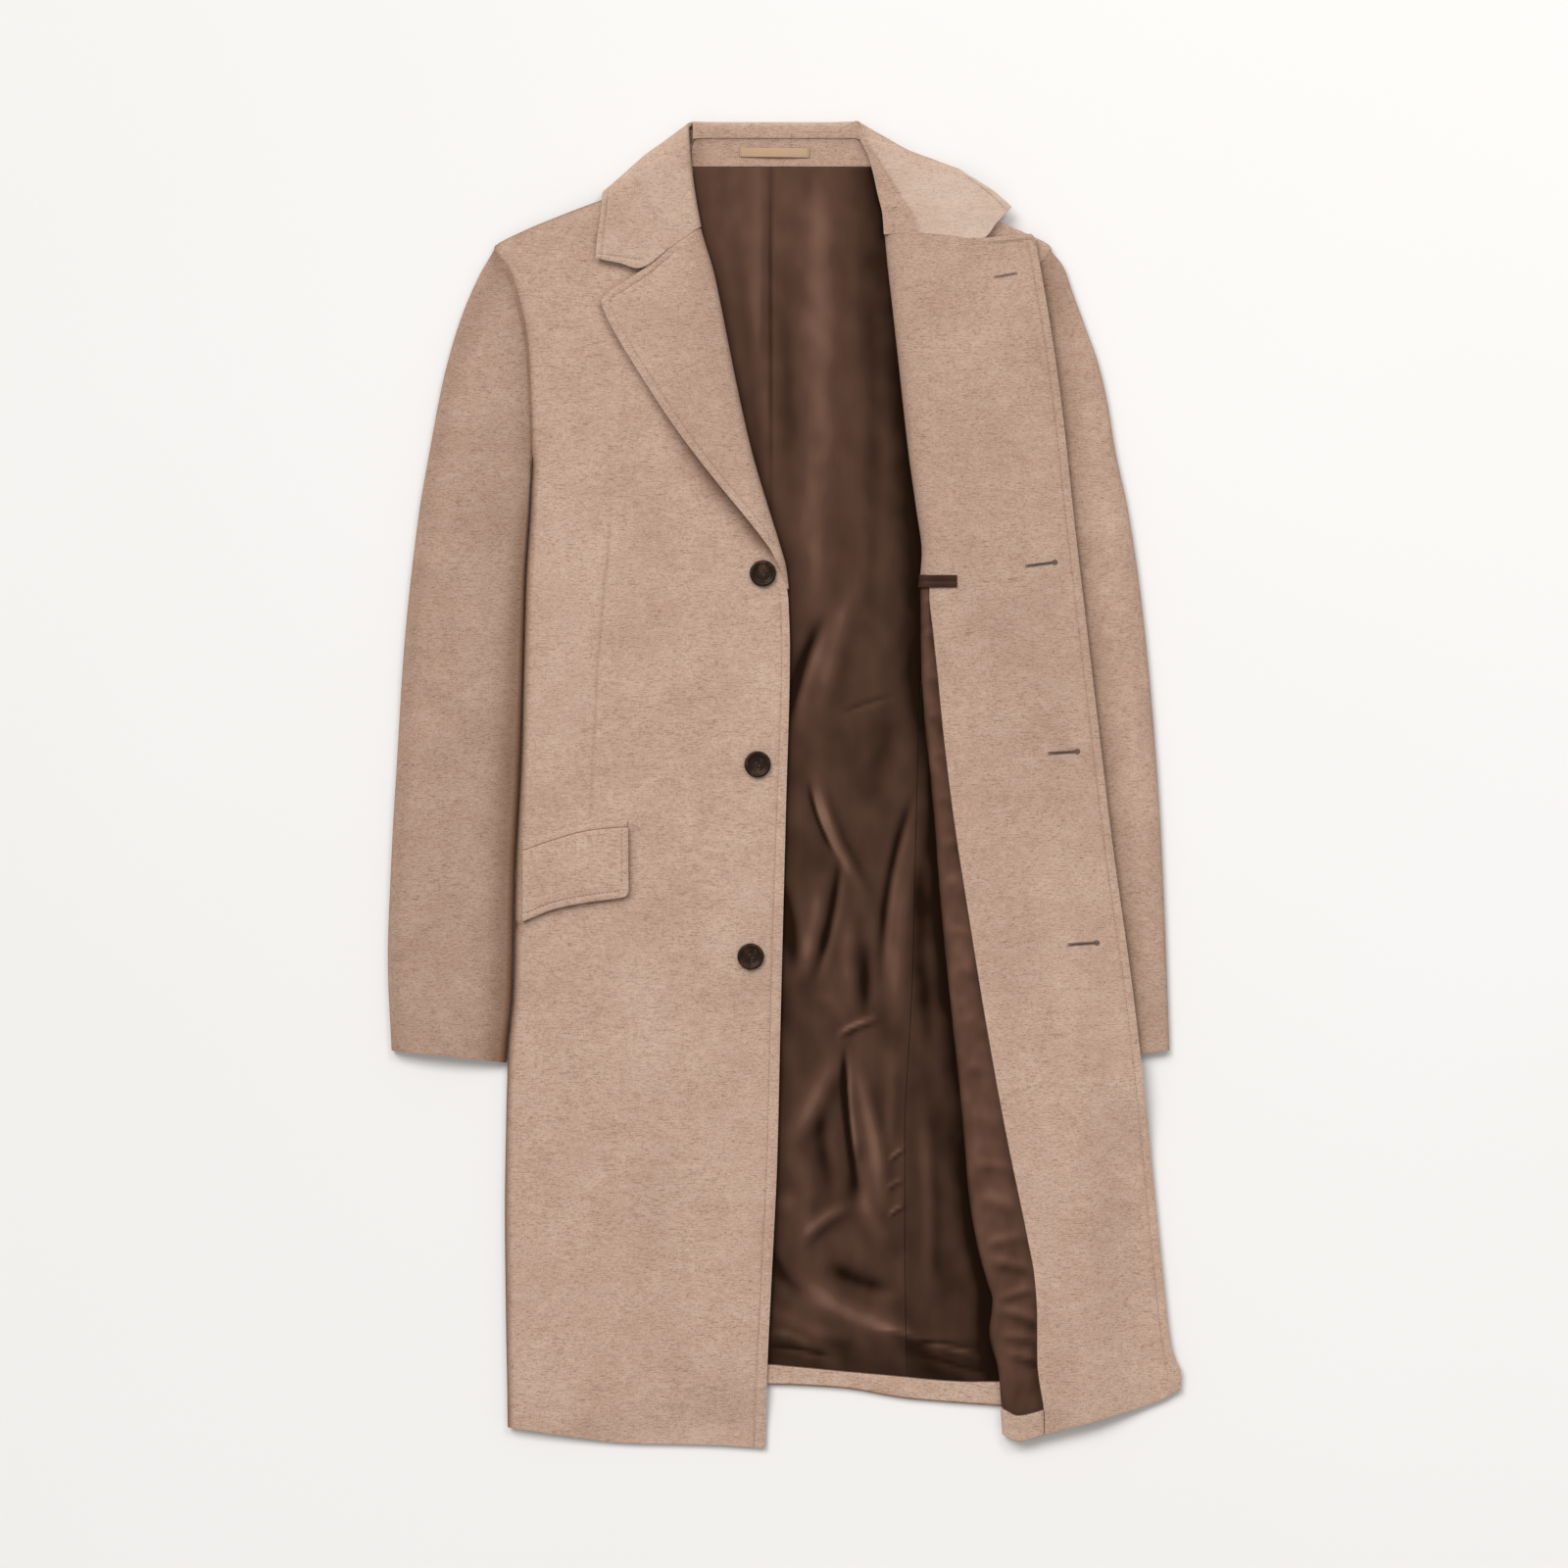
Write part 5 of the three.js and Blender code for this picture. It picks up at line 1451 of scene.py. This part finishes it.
def whip(form, slit_shades, hole):
    start = on_facing(hole["fromX"], hole["fromY"])
    end = on_facing(hole["toX"], hole["toY"])
    run = (end - start).normalized()
    across = run.cross(Vector((0, 0, 1))).normalized()
    up = Vector((0, 0, 0.12))
    for centre, _ in along([start, end], 0.85):
        for side in (-1, 1):
            place_strand(form, centre + across * side * 0.8 + up, across, 1.4, 0.7)
    # A dark bead along the slit: painted shade in the cut.
    place_strand(slit_shades, (start + end) / 2 + up, run, (end - start).length, 0.8)
    if hole["eye"]:
        for turn in spread(0, 2 * math.pi, 14)[:-1]:
            ray = run * math.cos(turn) + across * math.sin(turn)
            place_strand(form, end + run * 0.9 + ray * 1.75 + up, ray, 1.5, 0.75)
        # A dark bead in the eyelet: painted shade in its hole.
        place_strand(slit_shades, end + run * 0.9 + up * 1.5, run, 1.9, 1.5)


holes, slit_shades = bmesh.new(), bmesh.new()
for hole in KEYHOLES:
    whip(holes, slit_shades, hole)
finished("buttonholes", holes, hole_thread)
finished("buttonhole_slit_shades", slit_shades, button_thread)
lapel_hole, lapel_slit_shade = bmesh.new(), bmesh.new()
whip(lapel_hole, lapel_slit_shade, LAPEL_HOLE[0])
finished("lapel_buttonhole", lapel_hole, wool_thread)
finished("lapel_slit_shade", lapel_slit_shade, hole_thread)

# Buttons: turned rim and dished middle, with four sewing holes and bars of thread
BUTTONS = table("x y turn", (-17, 170.6, 0.5), (-21.3, 16.6, 0.9), (-26.9, -138.3, 0.7))
BUTTON_PROFILE = curve(table(
    "across up",
    (0, 0.56), (0.3, 0.57), (0.56, 0.6), (0.66, 0.7), (0.76, 0.93), (0.85, 1), (0.94, 0.93), (0.985, 0.7),
    (1, 0.5)), "up", "across")
HOLE_OFFSET = 2.3
HOLE_RADIUS = 1.0


def button_form(turn):
    """Button by spinning its section, its holes sunk into the dished middle."""
    form = bmesh.new()
    section = [(share * BUTTON_RADIUS, BUTTON_PROFILE(share) * BUTTON_HEIGHT) for share in spread(0, 1, 40)]
    section += [(0.97 * BUTTON_RADIUS, 0.2 * BUTTON_HEIGHT), (0.72 * BUTTON_RADIUS, 0), (0.001, 0)]
    verts = [form.verts.new((across, 0, up)) for across, up in section]
    edges = [form.edges.new(pair) for pair in zip(verts, verts[1:])]
    bmesh.ops.spin(form, geom=verts + edges, axis=(0, 0, 1), cent=(0, 0, 0), steps=72,
                   angle=2 * math.pi, use_merge=True)
    bmesh.ops.remove_doubles(form, verts=form.verts, dist=0.002)
    bmesh.ops.recalc_face_normals(form, faces=form.faces)
    for vert in form.verts:
        if vert.co.z > 0.3 * BUTTON_HEIGHT:
            for corner in range(4):
                angle = turn + math.pi / 4 + quarter(corner)
                away = math.hypot(vert.co.x - HOLE_OFFSET * math.cos(angle),
                                  vert.co.y - HOLE_OFFSET * math.sin(angle))
                vert.co.z -= 1.5 * (1 - smoothstep(away, 0.55 * HOLE_RADIUS, HOLE_RADIUS))
    return form


for number, row in enumerate(BUTTONS, 1):
    seat = Matrix.Translation(Vector((row["x"], row["y"], FRONT_Z + CLOTH / 2 + SEAM_GAP)) * MM)
    form = button_form(row["turn"])
    bmesh.ops.transform(form, matrix=seat @ Matrix.Scale(MM, 4), verts=form.verts)
    button = finished(f"coat_button_{number}", form, horn)
    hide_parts(f"button_{number}")
    bars = bmesh.new()
    for side in (-1, 1):
        for strand_number in (-1, 0, 1):
            angle = row["turn"]
            direction = Vector((math.cos(angle), math.sin(angle), 0))
            across = Vector((-direction.y, direction.x, 0))
            offset = across * (side * HOLE_OFFSET * math.sqrt(0.5) + strand_number * 0.42)
            place_strand(bars, offset + Vector((0, 0, 0.62 * BUTTON_HEIGHT)), direction, 4.6, 0.6)
    bmesh.ops.transform(bars, matrix=seat, verts=bars.verts)
    finished(f"button_thread_{number}", bars, button_thread)


# Floor, light and surroundings
floor_mesh = bmesh.new()
bmesh.ops.create_grid(floor_mesh, x_segments=2, y_segments=2, size=6)
floor_data = bpy.data.meshes.new("floor")
floor_mesh.to_mesh(floor_data)
floor_mesh.free()
floor_data.materials.append(floor_finish())
floor = link("floor", floor_data)
floor.location.z = -0.0004


def add_light(name, kind, energy, place, target=(0, 0, 0), size=None, angle=None):
    light = bpy.data.lights.new(name, kind)
    light.energy = energy
    if size:
        light.shape = "DISK"
        light.size = size
    if angle:
        light.angle = math.radians(angle)
    lamp = link(name, light)
    lamp.location = place
    lamp.rotation_euler = (Vector(target) - Vector(place)).to_track_quat("-Z", "Y").to_euler()


add_light("soft_key", "SUN", 1.9, (-1.4, 1.9, 2.6), angle=34)
add_light("satin_gloss", "AREA", 16, (0.9, 1.6, 2.2), size=1.0)
world = bpy.data.worlds.new("studio")
bpy.context.scene.world = world
world.use_nodes = True
world.node_tree.nodes["Background"].inputs["Color"].default_value = (1, 0.995, 0.985, 1)
world.node_tree.nodes["Background"].inputs["Strength"].default_value = 0.52
bpy.context.scene.view_settings.view_transform = "Standard"
